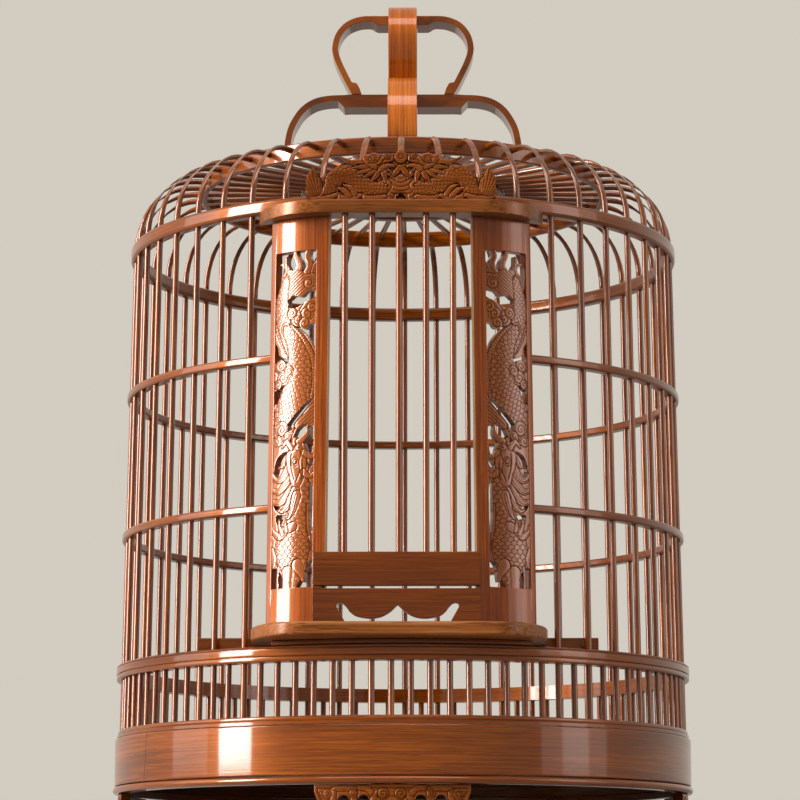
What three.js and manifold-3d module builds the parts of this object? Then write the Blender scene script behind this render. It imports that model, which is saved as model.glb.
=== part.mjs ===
// A round bamboo bird cage with a carved door bay, a domed top and a handle of crossed bent strips.
// Millimetres, +Z up, the feet stand on z = 0 and the door faces -Y. The origin is the middle of the
// footprint, so the axis of the round cage stands a little behind it.
// The bars pass through drilled rings and hoops, and each panel of them is pegged into one strip of the
// lining that stands inside the base band.
import * as THREE from "three";
import { mergeGeometries, mergeVertices } from "three/addons/utils/BufferGeometryUtils.js";
import Module from "manifold-3d";

const wasm = await Module();
wasm.setup();

const { degToRad } = THREE.MathUtils;
const halfTurn = Math.PI;
const fullTurn = 2 * Math.PI;

// Clearances
const gap = 0.3; // left between pieces that touch
const barPlay = 0.3; // round a bar in its drilled hole
const overrun = 1.5; // how far a cut runs past what it cuts

// The base, from the ground up
const footHeight = 19.7;
const beadHeight = 4;
const bandHeight = 27.2;
const rimHeight = 4.5;
const skirtOpening = 29.2; // between the base rim and the lower ring
const ringHeight = 8.5;

// Heights of hoop tops above the lower ring's top
const lowHoopRise = 77.4;
const highHoopRise = 160.6;
const shoulderRise = 248.7;
const domeHoopRise = 291;
const crownRise = 296.5;

// Bars
const barThickness = 3.5;
const wallBars = 41;
const wallPanels = 8;
const frontBars = 7;
const frontSkirtBars = 16;
const bayHalfAngle = degToRad(31.43); // from the middle of the door to the first full bar
const cageRadius = 163.2; // of the bars' circle at the lower ring's top
const wallLean = 3.7; // how much smaller that circle is at the shoulder ring's top

// Rings and hoops, by how far they stand proud of the bars' circle, their radial depth and their height
const bandProud = 4.8;
const bandThickness = 1.8;
const beadOverhang = 1;
const beadDepth = 9.5;
const rimDepth = 8.7;
const rimInset = 0.8;
const ringProud = 4.8;
const ringDepth = 9.2;
const ringGroove = 1.4;
const lowHoopProud = 3.9;
const highHoopProud = 3.5;
const hoopDepth = 7.4;
const hoopHeight = 4.6;
const hoopEndAngle = degToRad(27.5);
const shoulderProud = 3.9;
const shoulderDepth = 7.8;
const shoulderHeight = 8.2;
const domeRun = 32.5; // how far the bars bend inwards before they run level
const domeLevel = 5; // how far they run level before they pass the dome hoop
const domeHoopThickness = 3.6;
const domeHoopHeight = 9.8;
const spokeDrop = 3.6; // from the dome hoop's top down to the middle of the bars
const crownRadius = 61;
const crownDepth = 7;
const crownHeight = 12.5;
const liningDepth = 5.9;
const liningHeight = 11.5;
const facetPlay = 0.8; // where a strip stands inside a ring that has other facets
const seatHeight = 3.6; // strip under the shoulder ring that holds the front bars
const seatDepth = 6.5;
const seatHalfAngle = degToRad(26.5);

// Inside the base: ledge, tray and floor
const ledgeDepth = 11.5;
const ledgeHeight = 3;
const ledgeRise = 6.7; // from the base band's foot to the ledge's
const trayHeight = 10.5;
const trayWall = 2;
const grateHeight = 4;
const grateDepth = 8;
const grateRods = 17;
const grateRodThickness = 3;

// Feet
const footDepth = 6;
const footWidth = 85;
const footSlope = 6.5; // how much narrower a foot is at each side on the ground
const footEdge = 4; // upright stretch at a foot's upper corner
const footArchWidth = 30;
const footArchHeight = 9;
const footAngles = {
  front: degToRad(-1.6),
  right: degToRad(89),
  back: degToRad(174.5),
  left: degToRad(-91),
};

// Door bay, measured outwards from the bars' circle at the lower ring
const lintelProud = 12.3;
const lintelThickness = 7.6;
const lintelDrop = 7; // from the shoulder ring's top down to the lintel's
const lintelCorner = 38;
const lintelFlat = 41; // half the straight stretch of its front edge
const sillProud = 19.8;
const sillHalfWidth = 80.8;
const sillShift = -1.1; // the sill lies a little to the left of the bay's middle
const sillInside = 45.9; // from the bars' circle back to the sill's inner edge
const sillCornerWidth = 30;
const sillCornerDepth = 48;
const sillThickness = 7.3;
const bearerHeight = 2.6;
const bearerDepth = 6;
const bearerHalfAngle = degToRad(25);
const postCurve = 62; // radius of a post's outer face
const postCurveSide = 29; // from the middle of the bay to the centre of that curve
const postCurveInset = 56.2; // and from the bars' circle back to it
const postThickness = 5;
const postFrom = degToRad(10.2);
const postTo = degToRad(44.6);
const postSplay = 2; // how much further out a post stands at its foot than at its top
const postSplayLevel = 0.4; // the share of its height at which it stands on its curve
const panelFrom = degToRad(17.2);
const panelTo = degToRad(40.8);
const panelFoot = 19.7; // plain block under a post's carved panel
const panelHead = 18.4; // and above it
const panelSink = 2;
const beamHalfLength = 110.5;
const beamShift = -2; // the beam lies a little to the left of the bay's middle
const beamDepth = 8;
const beamHeight = 7.3;
const pegDiameter = 4.2;
const pegProud = 1.5;
const pegInset = 8; // from a beam's end to the middle of its peg

// Door, slat and crest
const doorShift = -1; // the door stands a little to the left of the bay's middle
const doorHalfWidth = 44.9;
const railShift = -1.2; // and its rail and the slat a little further to the left
const doorProud = 11.1; // the front of the door's rail
const slatHeight = 18.1;
const slatThickness = 5.9;
const stopHeight = 1.1;
const swagHalfWidth = 33; // cut-out in the slat's lower edge, from its middle to a horn's outside
const swagHeight = 10.4; // and up to a horn's tip
const swagShift = -0.6; // the cut-out's middle from the door bars' middle
const stopWidth = 4.5;
const railHeight = 18.3;
const railThickness = 5.4;
const doorBars = 5;
const doorBarPitch = 14.7;
const doorBarSocket = 6;
const crestHalfWidth = 52;
const crestHeight = 28.7;
const crestThickness = 4;
const crestGap = 0.4; // between the crest and the door's bars in front of it

// Handle
const stripWidth = 17;
const stripThickness = 3.7;
const bowHeight = 50.2;
const bowProud = 10.8; // how far a bow reaches past the crown ring
const bowMiddleThickness = 7.9;
const bowMiddleHalf = 36; // half the thick stretch in a bow's middle
const loopHeight = 49.3;
const loopHalfWidth = 43;
const loopMiddleThickness = 6;
const loopMiddleHalf = 16;
const middleTaper = 5; // length over which a thick stretch runs out

// Radii and reaches from the cage's axis
const bandRadius = cageRadius + bandProud;
const ringRadius = cageRadius + ringProud;
const liningRadius = bandRadius - bandThickness - facetPlay;
const shoulderCircle = cageRadius - wallLean;
const shoulderRadius = shoulderCircle + shoulderProud;
const domeHoopRadius = shoulderCircle - domeRun - domeLevel;
const bowHalfWidth = crownRadius + bowProud;
const lintelReach = cageRadius + lintelProud;
const sillReach = cageRadius + sillProud;
const sillBack = cageRadius - sillInside;
const postCurveReach = cageRadius - postCurveInset;
const doorReach = cageRadius + doorProud;
const doorBarReach = doorReach - railThickness / 2 - barPlay;
const crestReach = doorBarReach - barThickness / 2 - crestGap;

// Levels that follow from the sizes above
const beadFoot = footHeight + gap;
const bandFoot = beadFoot + beadHeight + gap;
const bandTop = bandFoot + bandHeight;
const rimFoot = bandTop + gap;
const rimTop = rimFoot + rimHeight;
const ringFoot = rimTop + skirtOpening;
const ringTop = ringFoot + ringHeight;
const shoulderTop = ringTop + shoulderRise;
const lintelTop = shoulderTop - lintelDrop;
const lintelFoot = lintelTop - lintelThickness;
const bearerTop = ringTop + gap + bearerHeight;
const sillFoot = bearerTop + gap;
const sillTop = sillFoot + sillThickness;
const crownTop = ringTop + crownRise;
const domeHoopTop = ringTop + domeHoopRise;
const spokeLevel = domeHoopTop - spokeDrop;
const bowTop = crownTop + gap + bowHeight;
const railFoot = sillTop + gap + slatHeight + stopHeight + gap;

// Angles round the cage, from the door towards +X
const wallPitch = (fullTurn - 2 * bayHalfAngle) / (wallBars - 1);
const frontPitch = (2 * (bayHalfAngle - wallPitch / 2)) / frontBars;
const wallAngles = Array.from({ length: wallBars }, (_, k) => bayHalfAngle + k * wallPitch);
const frontAngles = Array.from({ length: frontBars }, (_, k) => (k - (frontBars - 1) / 2) * frontPitch);

// Colours
const warm = new THREE.MeshStandardMaterial({ color: 0xb5611f, roughness: 0.3 });
const dark = new THREE.MeshStandardMaterial({ color: 0x8f4a1b, roughness: 0.35 });
const red = new THREE.MeshStandardMaterial({ color: 0x9c4a1e, roughness: 0.45 });
const pale = new THREE.MeshStandardMaterial({ color: 0xc98a4b, roughness: 0.4 });
const metal = new THREE.MeshStandardMaterial({ color: 0xb9bcc0, roughness: 0.4, metalness: 1 });

// The point at an angle round the cage, a radius from its axis and a height.
function polar(angle, radius, height) {
  return new THREE.Vector3(radius * Math.sin(angle), -radius * Math.cos(angle), height);
}

// A closed surface through sections, which are lists of points in the same order. The last section joins
// the first one, or each end has a cap.
function loft(sections, joined = false) {
  const count = sections[0].length;
  const points = sections.flat();
  const faces = [];
  const steps = joined ? sections.length : sections.length - 1;
  for (let s = 0; s < steps; s++) {
    const here = s * count;
    const next = ((s + 1) % sections.length) * count;
    for (let i = 0; i < count; i++) {
      const j = (i + 1) % count;
      faces.push([here + i, here + j, next + j], [here + i, next + j, next + i]);
    }
  }
  if (!joined) {
    const last = (sections.length - 1) * count;
    const flat = THREE.ShapeUtils.triangulateShape(flattened(sections[0]), []);
    for (const [a, b, c] of flat) {
      faces.push([a, c, b], [last + a, last + b, last + c]);
    }
  }
  const volume = faces.reduce((sum, [a, b, c]) => {
    return sum + points[a].dot(points[b].clone().cross(points[c]));
  }, 0);
  const outward = volume < 0 ? faces.map(([a, b, c]) => [a, c, b]) : faces;
  const geometry = new THREE.BufferGeometry().setFromPoints(points);
  geometry.setIndex(outward.flat());
  return geometry;
}

// A plane section's points in two dimensions, turning anticlockwise for the triangulation.
function flattened(section) {
  const across = section[1].clone().sub(section[0]).normalize();
  const normal = new THREE.Vector3();
  section.forEach((point, i) => normal.add(point.clone().cross(section[(i + 1) % section.length])));
  const up = normal.normalize().cross(across);
  return section.map((point) => new THREE.Vector2(point.dot(across), point.dot(up)));
}

// The span from one angle to another in equal steps no longer than a pitch.
function span(from, to, pitch) {
  const steps = Math.max(1, Math.round((to - from) / pitch));
  return Array.from({ length: steps + 1 }, (_, i) => from + ((to - from) * i) / steps);
}

// A ring or an arc: a profile of [radius, height] pairs, swept through angles.
function swept(profile, angles, joined = false) {
  const sections = angles.map((angle) => {
    return profile.map(([radius, height]) => polar(angle, radius, height));
  });
  return loft(sections, joined);
}

function box(inner, outer, foot, top) {
  return [[inner, foot], [outer, foot], [outer, top], [inner, top]];
}

// The angles between neighbouring bars, so that each bar stands in the middle of a ring's facet.
function facetAngles() {
  const front = frontAngles.map((angle) => angle - frontPitch / 2);
  const wall = wallAngles.map((angle) => angle - wallPitch / 2);
  return [...front, ...wall];
}

// The facets of a plain ring, with a corner on each axis.
const evenFacets = 36;
const evenAngles = Array.from({ length: evenFacets }, (_, k) => (k * fullTurn) / evenFacets);

// Booleans
function solidOf(geometry) {
  const bare = new THREE.BufferGeometry().setAttribute("position", geometry.getAttribute("position"));
  bare.setIndex(geometry.index);
  const merged = mergeVertices(bare);
  return new wasm.Manifold(
    new wasm.Mesh({
      numProp: 3,
      vertProperties: merged.getAttribute("position").array,
      triVerts: new Uint32Array(merged.index.array),
    }),
  );
}

function geometryOf(solid) {
  const made = solid.getMesh();
  const geometry = new THREE.BufferGeometry();
  geometry.setAttribute("position", new THREE.BufferAttribute(new Float32Array(made.vertProperties), 3));
  geometry.setIndex(new THREE.BufferAttribute(new Uint32Array(made.triVerts), 1));
  return geometry;
}

function cut(geometry, ...tools) {
  return geometryOf(tools.reduce((solid, tool) => solid.subtract(solidOf(tool)), solidOf(geometry)));
}

function join(...geometries) {
  return geometryOf(geometries.map(solidOf).reduce((whole, part) => whole.add(part)));
}

// Separate shapes as one geometry, for cutting them all at once.
function together(geometries) {
  return mergeGeometries(geometries.map((geometry) => {
    const bare = new THREE.BufferGeometry().setAttribute("position", geometry.getAttribute("position"));
    return bare.setIndex(geometry.index);
  }));
}

// The cage
const cage = new THREE.Group();

function add(name, geometry, material) {
  const flat = geometry.index ? geometry.toNonIndexed() : geometry;
  flat.computeVertexNormals();
  const mesh = new THREE.Mesh(flat, material);
  mesh.name = name;
  cage.add(mesh);
  return mesh;
}

// Radius of the circle of bars at a height: the wall leans in a little.
function barCircle(height) {
  return cageRadius - (wallLean * (height - ringTop)) / shoulderRise;
}

// A round stick with a few sides along a path of [radius, height] pairs at an angle round the cage.
function stick(angle, path, sides = 5) {
  const outward = new THREE.Vector3(Math.sin(angle), -Math.cos(angle), 0);
  const sideways = new THREE.Vector3(Math.cos(angle), Math.sin(angle), 0);
  const points = path.map(([radius, height]) => new THREE.Vector2(radius, height));
  return loft(points.map((point, i) => {
    const before = points[Math.max(i - 1, 0)];
    const after = points[Math.min(i + 1, points.length - 1)];
    const along = after.clone().sub(before).normalize();
    const centre = polar(angle, point.x, point.y);
    return Array.from({ length: sides }, (_, k) => {
      const turn = ((k + 0.5) * fullTurn) / sides;
      const off = (barThickness / 2) * Math.cos(turn);
      return centre.clone()
        .addScaledVector(outward, off * along.y)
        .addScaledVector(new THREE.Vector3(0, 0, 1), -off * along.x)
        .addScaledVector(sideways, (barThickness / 2) * Math.sin(turn));
    });
  }));
}

// The path of a bar from a height up over the shoulder and in to the crown.
function barPath(foot) {
  const bend = spokeLevel - shoulderTop;
  const steps = 4;
  const path = [[barCircle(foot), foot]];
  for (let i = 0; i <= steps; i++) {
    const turn = (i / steps) * (halfTurn / 2);
    path.push([
      shoulderCircle - domeRun * (1 - Math.cos(turn)),
      shoulderTop + bend * Math.sin(turn),
    ]);
  }
  path.push([crownRadius + gap, spokeLevel]);
  return path;
}

// A square hole for a bar through a ring between two heights.
function barHole(angle, foot, top, centre = barCircle((foot + top) / 2)) {
  const half = barThickness / 2 + barPlay;
  const wide = polar(angle, centre, 0);
  const hole = new THREE.BoxGeometry(2 * half, 2 * half, top - foot + 2 * overrun);
  hole.rotateZ(angle);
  hole.translate(wide.x, wide.y, (foot + top) / 2);
  return hole;
}

function drilled(ring, angles, foot, top, centre) {
  return cut(ring, together(angles.map((angle) => barHole(angle, foot, top, centre))));
}

function makeBase() {
  const beadTop = beadFoot + beadHeight;
  const beadInner = bandRadius + beadOverhang - beadDepth;
  const nose = [
    [beadInner, beadFoot],
    [bandRadius - beadOverhang, beadFoot],
    [bandRadius + beadOverhang, beadFoot + beadHeight / 4],
    [bandRadius + beadOverhang, beadTop - beadHeight / 4],
    [bandRadius - beadOverhang, beadTop],
    [beadInner, beadTop],
  ];
  add("base_bead", swept(nose, evenAngles, true), dark);

  const inner = bandRadius - bandThickness;
  add("base_band", swept(box(inner, bandRadius, bandFoot, bandTop), evenAngles, true), warm);

  const rimOuter = bandRadius - rimInset;
  const rimProfile = [
    [rimOuter - rimDepth, rimFoot],
    [rimOuter, rimFoot],
    [rimOuter, rimTop - rimHeight / 4],
    [rimOuter - rimHeight / 4, rimTop],
    [rimOuter - rimDepth, rimTop],
  ];
  const rim = swept(rimProfile, facetAngles(), true);
  add("base_rim", drilled(rim, wallAngles, rimFoot, rimTop), warm);

  const ledgeFoot = bandFoot + ledgeRise;
  const ledgeOuter = inner - 2 * gap;
  const ledge = box(ledgeOuter - ledgeDepth, ledgeOuter, ledgeFoot, ledgeFoot + ledgeHeight);
  add("tray_ledge", swept(ledge, evenAngles, true), dark);

  const liningEnd = bayHalfAngle - wallPitch / 2 - gap / bandRadius;
  const lining = box(liningRadius - liningDepth, liningRadius, bandTop - liningHeight, bandTop);
  add("front_lining", swept(lining, span(-liningEnd, liningEnd, frontPitch)), dark);
}

// Panels of full bars, each pegged into its own strip of lining.
function makeWall() {
  const foot = bandTop - liningHeight;
  const inner = liningRadius - liningDepth;
  const firstBar = (panel) => Math.round((panel * wallBars) / wallPanels);
  for (let panel = 0; panel < wallPanels; panel++) {
    const angles = wallAngles.slice(firstBar(panel), firstBar(panel + 1));
    const reach = wallPitch / 2 - gap / bandRadius;
    const ends = [angles[0] - reach, angles[angles.length - 1] + reach];
    const strip = swept(box(inner, liningRadius, foot, bandTop), span(ends[0], ends[1], wallPitch));
    const bars = angles.map((angle) => stick(angle, barPath(bandTop - liningHeight / 2)));
    add(`wall_bars_${panel + 1}`, join(strip, ...bars), warm);
  }
}

// The lower ring with its short bars, which are pegged into it and stand on the base rim.
function makeLowerRing() {
  const inner = ringRadius - ringDepth;
  const bead = ringHeight / 7;
  const profile = [
    [inner, ringFoot],
    [ringRadius - ringGroove / 2, ringFoot],
    [ringRadius - ringGroove, ringFoot + bead],
    [ringRadius, ringFoot + 2 * bead],
    [ringRadius, ringTop - 2 * bead],
    [ringRadius - ringGroove, ringTop - bead],
    [ringRadius - ringGroove / 2, ringTop],
    [inner, ringTop],
  ];
  const ring = drilled(swept(profile, facetAngles(), true), wallAngles, ringFoot, ringTop);
  const between = wallAngles.slice(0, -1).map((angle) => angle + wallPitch / 2);
  const skirtPitch = (2 * bayHalfAngle) / (frontSkirtBars + 1);
  const front = Array.from({ length: frontSkirtBars }, (_, k) => (k + 1) * skirtPitch - bayHalfAngle);
  const path = [rimTop + gap, ringFoot + bead].map((height) => [barCircle(height), height]);
  const bars = [...between, ...front].map((angle) => stick(angle, path, 4));
  add("lower_ring", join(ring, ...bars), warm);
}

function makeHoops() {
  const hoops = {
    mid_hoop_lower: [lowHoopRise, lowHoopProud],
    mid_hoop_upper: [highHoopRise, highHoopProud],
  };
  for (const [name, [rise, proud]] of Object.entries(hoops)) {
    const top = ringTop + rise;
    const foot = top - hoopHeight;
    const radius = barCircle((foot + top) / 2) + proud;
    const ends = [hoopEndAngle, fullTurn - hoopEndAngle];
    const facets = wallAngles.slice(1).map((angle) => angle - wallPitch / 2);
    const hoop = swept(box(radius - hoopDepth, radius, foot, top), [ends[0], ...facets, ends[1]]);
    add(name, drilled(hoop, wallAngles, foot, top), warm);
  }
}

function makeShoulder() {
  const foot = shoulderTop - shoulderHeight;
  const round = shoulderHeight / 5;
  const profile = [
    [shoulderRadius - shoulderDepth, foot],
    [shoulderRadius - round, foot],
    [shoulderRadius, foot + round],
    [shoulderRadius, shoulderTop - round],
    [shoulderRadius - round, shoulderTop],
    [shoulderRadius - shoulderDepth, shoulderTop],
  ];
  const ring = swept(profile, facetAngles(), true);
  add("shoulder_ring", drilled(ring, [...wallAngles, ...frontAngles], foot, shoulderTop), warm);

  const seatTop = foot - gap;
  const outer = shoulderCircle + seatDepth / 2;
  const seat = swept(
    box(outer - seatDepth, outer, seatTop - seatHeight, seatTop),
    span(-seatHalfAngle, seatHalfAngle, frontPitch),
  );
  const start = seatTop - seatHeight / 2;
  const path = [[shoulderCircle, start], ...barPath(shoulderTop).slice(1)];
  add("front_dome_bars", join(seat, ...frontAngles.map((angle) => stick(angle, path))), warm);
}

// The upright hoop in the dome, with a hole through it for each bar, and the crown that the bars end on.
function makeCrown() {
  const foot = domeHoopTop - domeHoopHeight;
  const profile = box(domeHoopRadius - domeHoopThickness, domeHoopRadius, foot, domeHoopTop);
  const hole = barThickness + 2 * barPlay;
  const holes = [...wallAngles, ...frontAngles].map((angle) => {
    const bore = new THREE.BoxGeometry(hole, domeHoopThickness + 2 * overrun, hole);
    const place = polar(angle, domeHoopRadius - domeHoopThickness / 2, spokeLevel);
    return bore.rotateZ(angle).translate(place.x, place.y, place.z);
  });
  add("dome_hoop", cut(swept(profile, facetAngles(), true), together(holes)), warm);

  const crownFoot = crownTop - crownHeight;
  const ring = box(crownRadius - crownDepth, crownRadius, crownFoot, crownTop);
  add("crown_ring", swept(ring, evenAngles, true), dark);
}

// A flat board: an outline of [x, y] pairs, extruded up from a height.
function board(outline, foot, thickness) {
  const shape = new THREE.Shape(outline.map(([x, y]) => new THREE.Vector2(x, y)));
  const geometry = new THREE.ExtrudeGeometry(shape, { depth: thickness, bevelEnabled: false });
  return geometry.translate(0, 0, foot);
}

// An upright board that faces the door: an outline of [x, z] pairs, from its front face back.
function frontBoard(outline, reach, thickness) {
  const shape = new THREE.Shape(outline.map(([x, z]) => new THREE.Vector2(x, z)));
  const geometry = new THREE.ExtrudeGeometry(shape, { depth: thickness, bevelEnabled: false });
  return geometry.rotateX(halfTurn / 2).translate(0, thickness - reach, 0);
}

// Five square holes for the door's bars.
function doorBarHoles(foot, top) {
  const side = barThickness + 2 * barPlay;
  return doorBarPlaces().map((x) => {
    const hole = new THREE.BoxGeometry(side, side, top - foot);
    return hole.translate(x, -doorBarReach, (foot + top) / 2);
  });
}

function doorBarPlaces() {
  return Array.from({ length: doorBars }, (_, k) => doorShift + (k - (doorBars - 1) / 2) * doorBarPitch);
}

function makeLintel() {
  const back = shoulderRadius + gap;
  const steps = 5;
  const centreReach = lintelReach - lintelCorner;
  const full = lintelCornerEnd(back, centreReach);
  const corner = Array.from({ length: steps + 1 }, (_, i) => {
    const turn = (full * i) / steps;
    return [lintelFlat + lintelCorner * Math.sin(turn), -centreReach - lintelCorner * Math.cos(turn)];
  });
  const end = corner[steps];
  const endAngle = Math.atan2(end[0], -end[1]);
  const facets = facetAngles().filter((angle) => angle > 0 && angle < endAngle - gap / back);
  const inside = facets.reverse().map((angle) => [back * Math.sin(angle), -back * Math.cos(angle)]);
  const half = [...corner, ...inside];
  const mirrored = half.map(([x, y]) => [-x, y]).reverse();
  const outline = board([...half, ...mirrored], lintelFoot, lintelThickness);
  const holes = doorBarHoles(lintelFoot - overrun, lintelTop + overrun);
  add("lintel_board", cut(outline, together(holes)), warm);
}

// The turn at which the lintel's rounded corner meets the circle behind it.
function lintelCornerEnd(back, centreReach) {
  const centre = Math.hypot(lintelFlat, centreReach);
  const bearing = Math.atan2(lintelFlat, centreReach);
  const cosine = (back ** 2 - centre ** 2 - lintelCorner ** 2) / (2 * centre * lintelCorner);
  return bearing + Math.acos(cosine);
}

function makeSill() {
  const steps = 6;
  const centre = [sillHalfWidth - sillCornerWidth, sillCornerDepth - sillReach];
  const corner = Array.from({ length: steps + 1 }, (_, i) => {
    const turn = ((halfTurn / 2) * i) / steps;
    return [centre[0] + sillCornerWidth * Math.sin(turn), centre[1] - sillCornerDepth * Math.cos(turn)];
  });
  const half = [...corner, [sillHalfWidth, -sillBack]];
  const outline = [...half, ...half.map(([x, y]) => [-x, y]).reverse()];
  const sill = board(outline, sillFoot, sillThickness);
  add("sill_board", sill.translate(sillShift, 0, 0), pale);

  const outer = ringRadius - ringGroove - gap;
  const bearer = box(outer - bearerDepth, outer, ringTop + gap, bearerTop);
  add("sill_bearer", swept(bearer, span(-bearerHalfAngle, bearerHalfAngle, frontPitch)), dark);

  const beamFoot = ringTop + gap;
  const front = gap - sillBack;
  const beam = new THREE.BoxGeometry(2 * beamHalfLength, beamDepth, beamHeight);
  beam.translate(beamShift, front + beamDepth / 2, beamFoot + beamHeight / 2);
  const pegs = ["left", "right"].map((name, i) => {
    const place = beamShift + (i === 0 ? -1 : 1) * (beamHalfLength - pegInset);
    return [name, (thickness, length) => {
      const peg = new THREE.CylinderGeometry(thickness / 2, thickness / 2, length, 8);
      return peg.translate(place, front - pegProud + length / 2, beamFoot + beamHeight / 2);
    }];
  });
  const bores = pegs.map(([, peg]) => peg(pegDiameter + 2 * gap, beamDepth + 2 * pegProud));
  add("sill_beam", cut(beam, together(bores)), pale);
  for (const [name, peg] of pegs) {
    add(`beam_peg_${name}`, peg(pegDiameter, beamDepth + pegProud), dark);
  }
}

// The two posts that turn from the door's front into the wall, each with a sunk panel for its carving.
function makePosts() {
  const foot = sillTop + gap;
  const top = lintelFoot - gap;
  const splay = (height) => postSplay * (postSplayLevel - (height - foot) / (top - foot));
  for (const [name, side] of [["left", -1], ["right", 1]]) {
    const upright = (turns, inner, outer, from, to) => {
      return loft(turns.map((turn) => {
        return box(inner, outer, from, to).map(([radius, height]) => new THREE.Vector3(
          side * (postCurveSide + radius * Math.sin(turn) + splay(height)),
          -postCurveReach - radius * Math.cos(turn),
          height,
        ));
      }));
    };
    const panelTurns = span(panelFrom, panelTo, (panelTo - panelFrom) / 3);
    const turns = [postFrom, ...panelTurns, postTo];
    const post = upright(turns, postCurve - postThickness, postCurve, foot, top);
    const panel = upright(
      panelTurns, postCurve - panelSink, postCurve + overrun, foot + panelFoot, top - panelHead,
    );
    add(`door_post_${name}`, cut(post, panel), warm);
  }
}

// The door: a rail that slides up with five bars, which run in the lintel's holes.
function makeDoor() {
  const left = doorShift + railShift - doorHalfWidth;
  const right = doorShift + railShift + doorHalfWidth;
  const railTop = railFoot + railHeight;
  const rail = frontBoard(
    [[left, railFoot], [right, railFoot], [right, railTop], [left, railTop]], doorReach, railThickness,
  );
  const sockets = doorBarHoles(railTop - doorBarSocket - gap, railTop + overrun);
  add("door_rail", cut(rail, together(sockets)), warm);
  doorBarPlaces().forEach((x, k) => {
    const bar = stick(0, [[doorBarReach, railTop - doorBarSocket], [doorBarReach, lintelTop]]);
    add(`door_bar_${k + 1}`, bar.translate(x, 0, 0), warm);
  });

  const slatFoot = sillTop + gap;
  const slatTop = slatFoot + slatHeight;
  const swag = swagOutline().map(([x, z]) => [doorShift + swagShift + x, slatFoot + z]);
  const slat = [
    [left, slatFoot],
    ...swag,
    [right, slatFoot],
    [right, slatTop],
    [left + stopWidth, slatTop],
    [left + stopWidth, slatTop + stopHeight],
    [left, slatTop + stopHeight],
  ];
  add("sill_slat", frontBoard(slat, doorReach, slatThickness), warm);
}

// The cut-out in the slat's lower edge: two lobes that end in horns and meet in a cusp, from left to
// right, by its right half as shares of its half width and height.
function swagOutline() {
  const shares = [
    [0.845, 0], [0.99, 0.79], [0.98, 0.94], [0.933, 1], [0.88, 0.93], [0.82, 0.73], [0.773, 0.54],
    [0.667, 0.32], [0.455, 0.2], [0.27, 0.28], [0.12, 0.54], [0, 0.89],
  ];
  const right = shares.map(([x, z]) => [x * swagHalfWidth, z * swagHeight]);
  return [...right.slice(0, -1).map(([x, z]) => [-x, z]), ...right.reverse()];
}

// The carving above the lintel, by the outline of its right half from the middle out, as shares of its
// half width and height.
function makeCrest() {
  const outlineShares = [
    [0, 1], [0.12, 0.93], [0.3, 0.98], [0.62, 0.82], [0.4, 0.62], [0.62, 0.66], [0.76, 0.5], [0.75, 0.22],
    [0.9, 0.6], [1, 0.42], [0.97, 0.06], [0.86, 0],
  ];
  const foot = lintelTop + gap;
  const half = outlineShares.map(([x, z]) => [x * crestHalfWidth, foot + z * crestHeight]);
  const mirrored = half.slice(1).map(([x, z]) => [-x, z]).reverse();
  add("crest_carving", frontBoard([...half, ...mirrored], crestReach, crestThickness), red);
}

// A bent strip from one foot over the middle to the other: the outline of its outer face from the foot to
// the middle, as shares of half width and height, and its thickness along it.
function bentStrip(outerShares, halfWidth, height, thicknessAt, foot) {
  const right = outerShares.map(([x, z]) => new THREE.Vector2(x * halfWidth, z * height));
  const left = right.slice(0, -1).map((point) => new THREE.Vector2(-point.x, point.y)).reverse();
  const outer = [...right, ...left];
  const inner = outer.map((point, i) => {
    const before = outer[Math.max(i - 1, 0)];
    const after = outer[Math.min(i + 1, outer.length - 1)];
    const along = after.clone().sub(before).normalize();
    const inward = new THREE.Vector2(-along.y, along.x);
    const moved = point.clone().addScaledVector(inward, thicknessAt(point));
    const atFoot = i === 0 || i === outer.length - 1;
    return atFoot ? new THREE.Vector2(point.x - Math.sign(point.x) * thicknessAt(point), point.y) : moved;
  });
  const shape = new THREE.Shape([...outer, ...inner.reverse()]);
  const strip = new THREE.ExtrudeGeometry(shape, { depth: stripWidth, bevelEnabled: false });
  return strip.translate(0, 0, -stripWidth / 2).rotateX(halfTurn / 2).translate(0, 0, foot);
}

// Two crossed strips, halved into each other where they meet: the one along x keeps its upper half.
function crossed(name, strip, top, thickness) {
  const side = stripWidth + 2 * gap;
  const halving = (from, to) => {
    return new THREE.BoxGeometry(side, side, to - from).translate(0, 0, (from + to) / 2);
  };
  const middle = top - thickness / 2;
  const lowerHalf = halving(top - thickness - overrun, middle + gap / 2);
  const upperHalf = halving(middle - gap / 2, top + overrun);
  add(`${name}_x`, cut(strip, lowerHalf), warm);
  add(`${name}_y`, cut(strip.clone().rotateZ(halfTurn / 2), upperHalf), warm);
}

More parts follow.
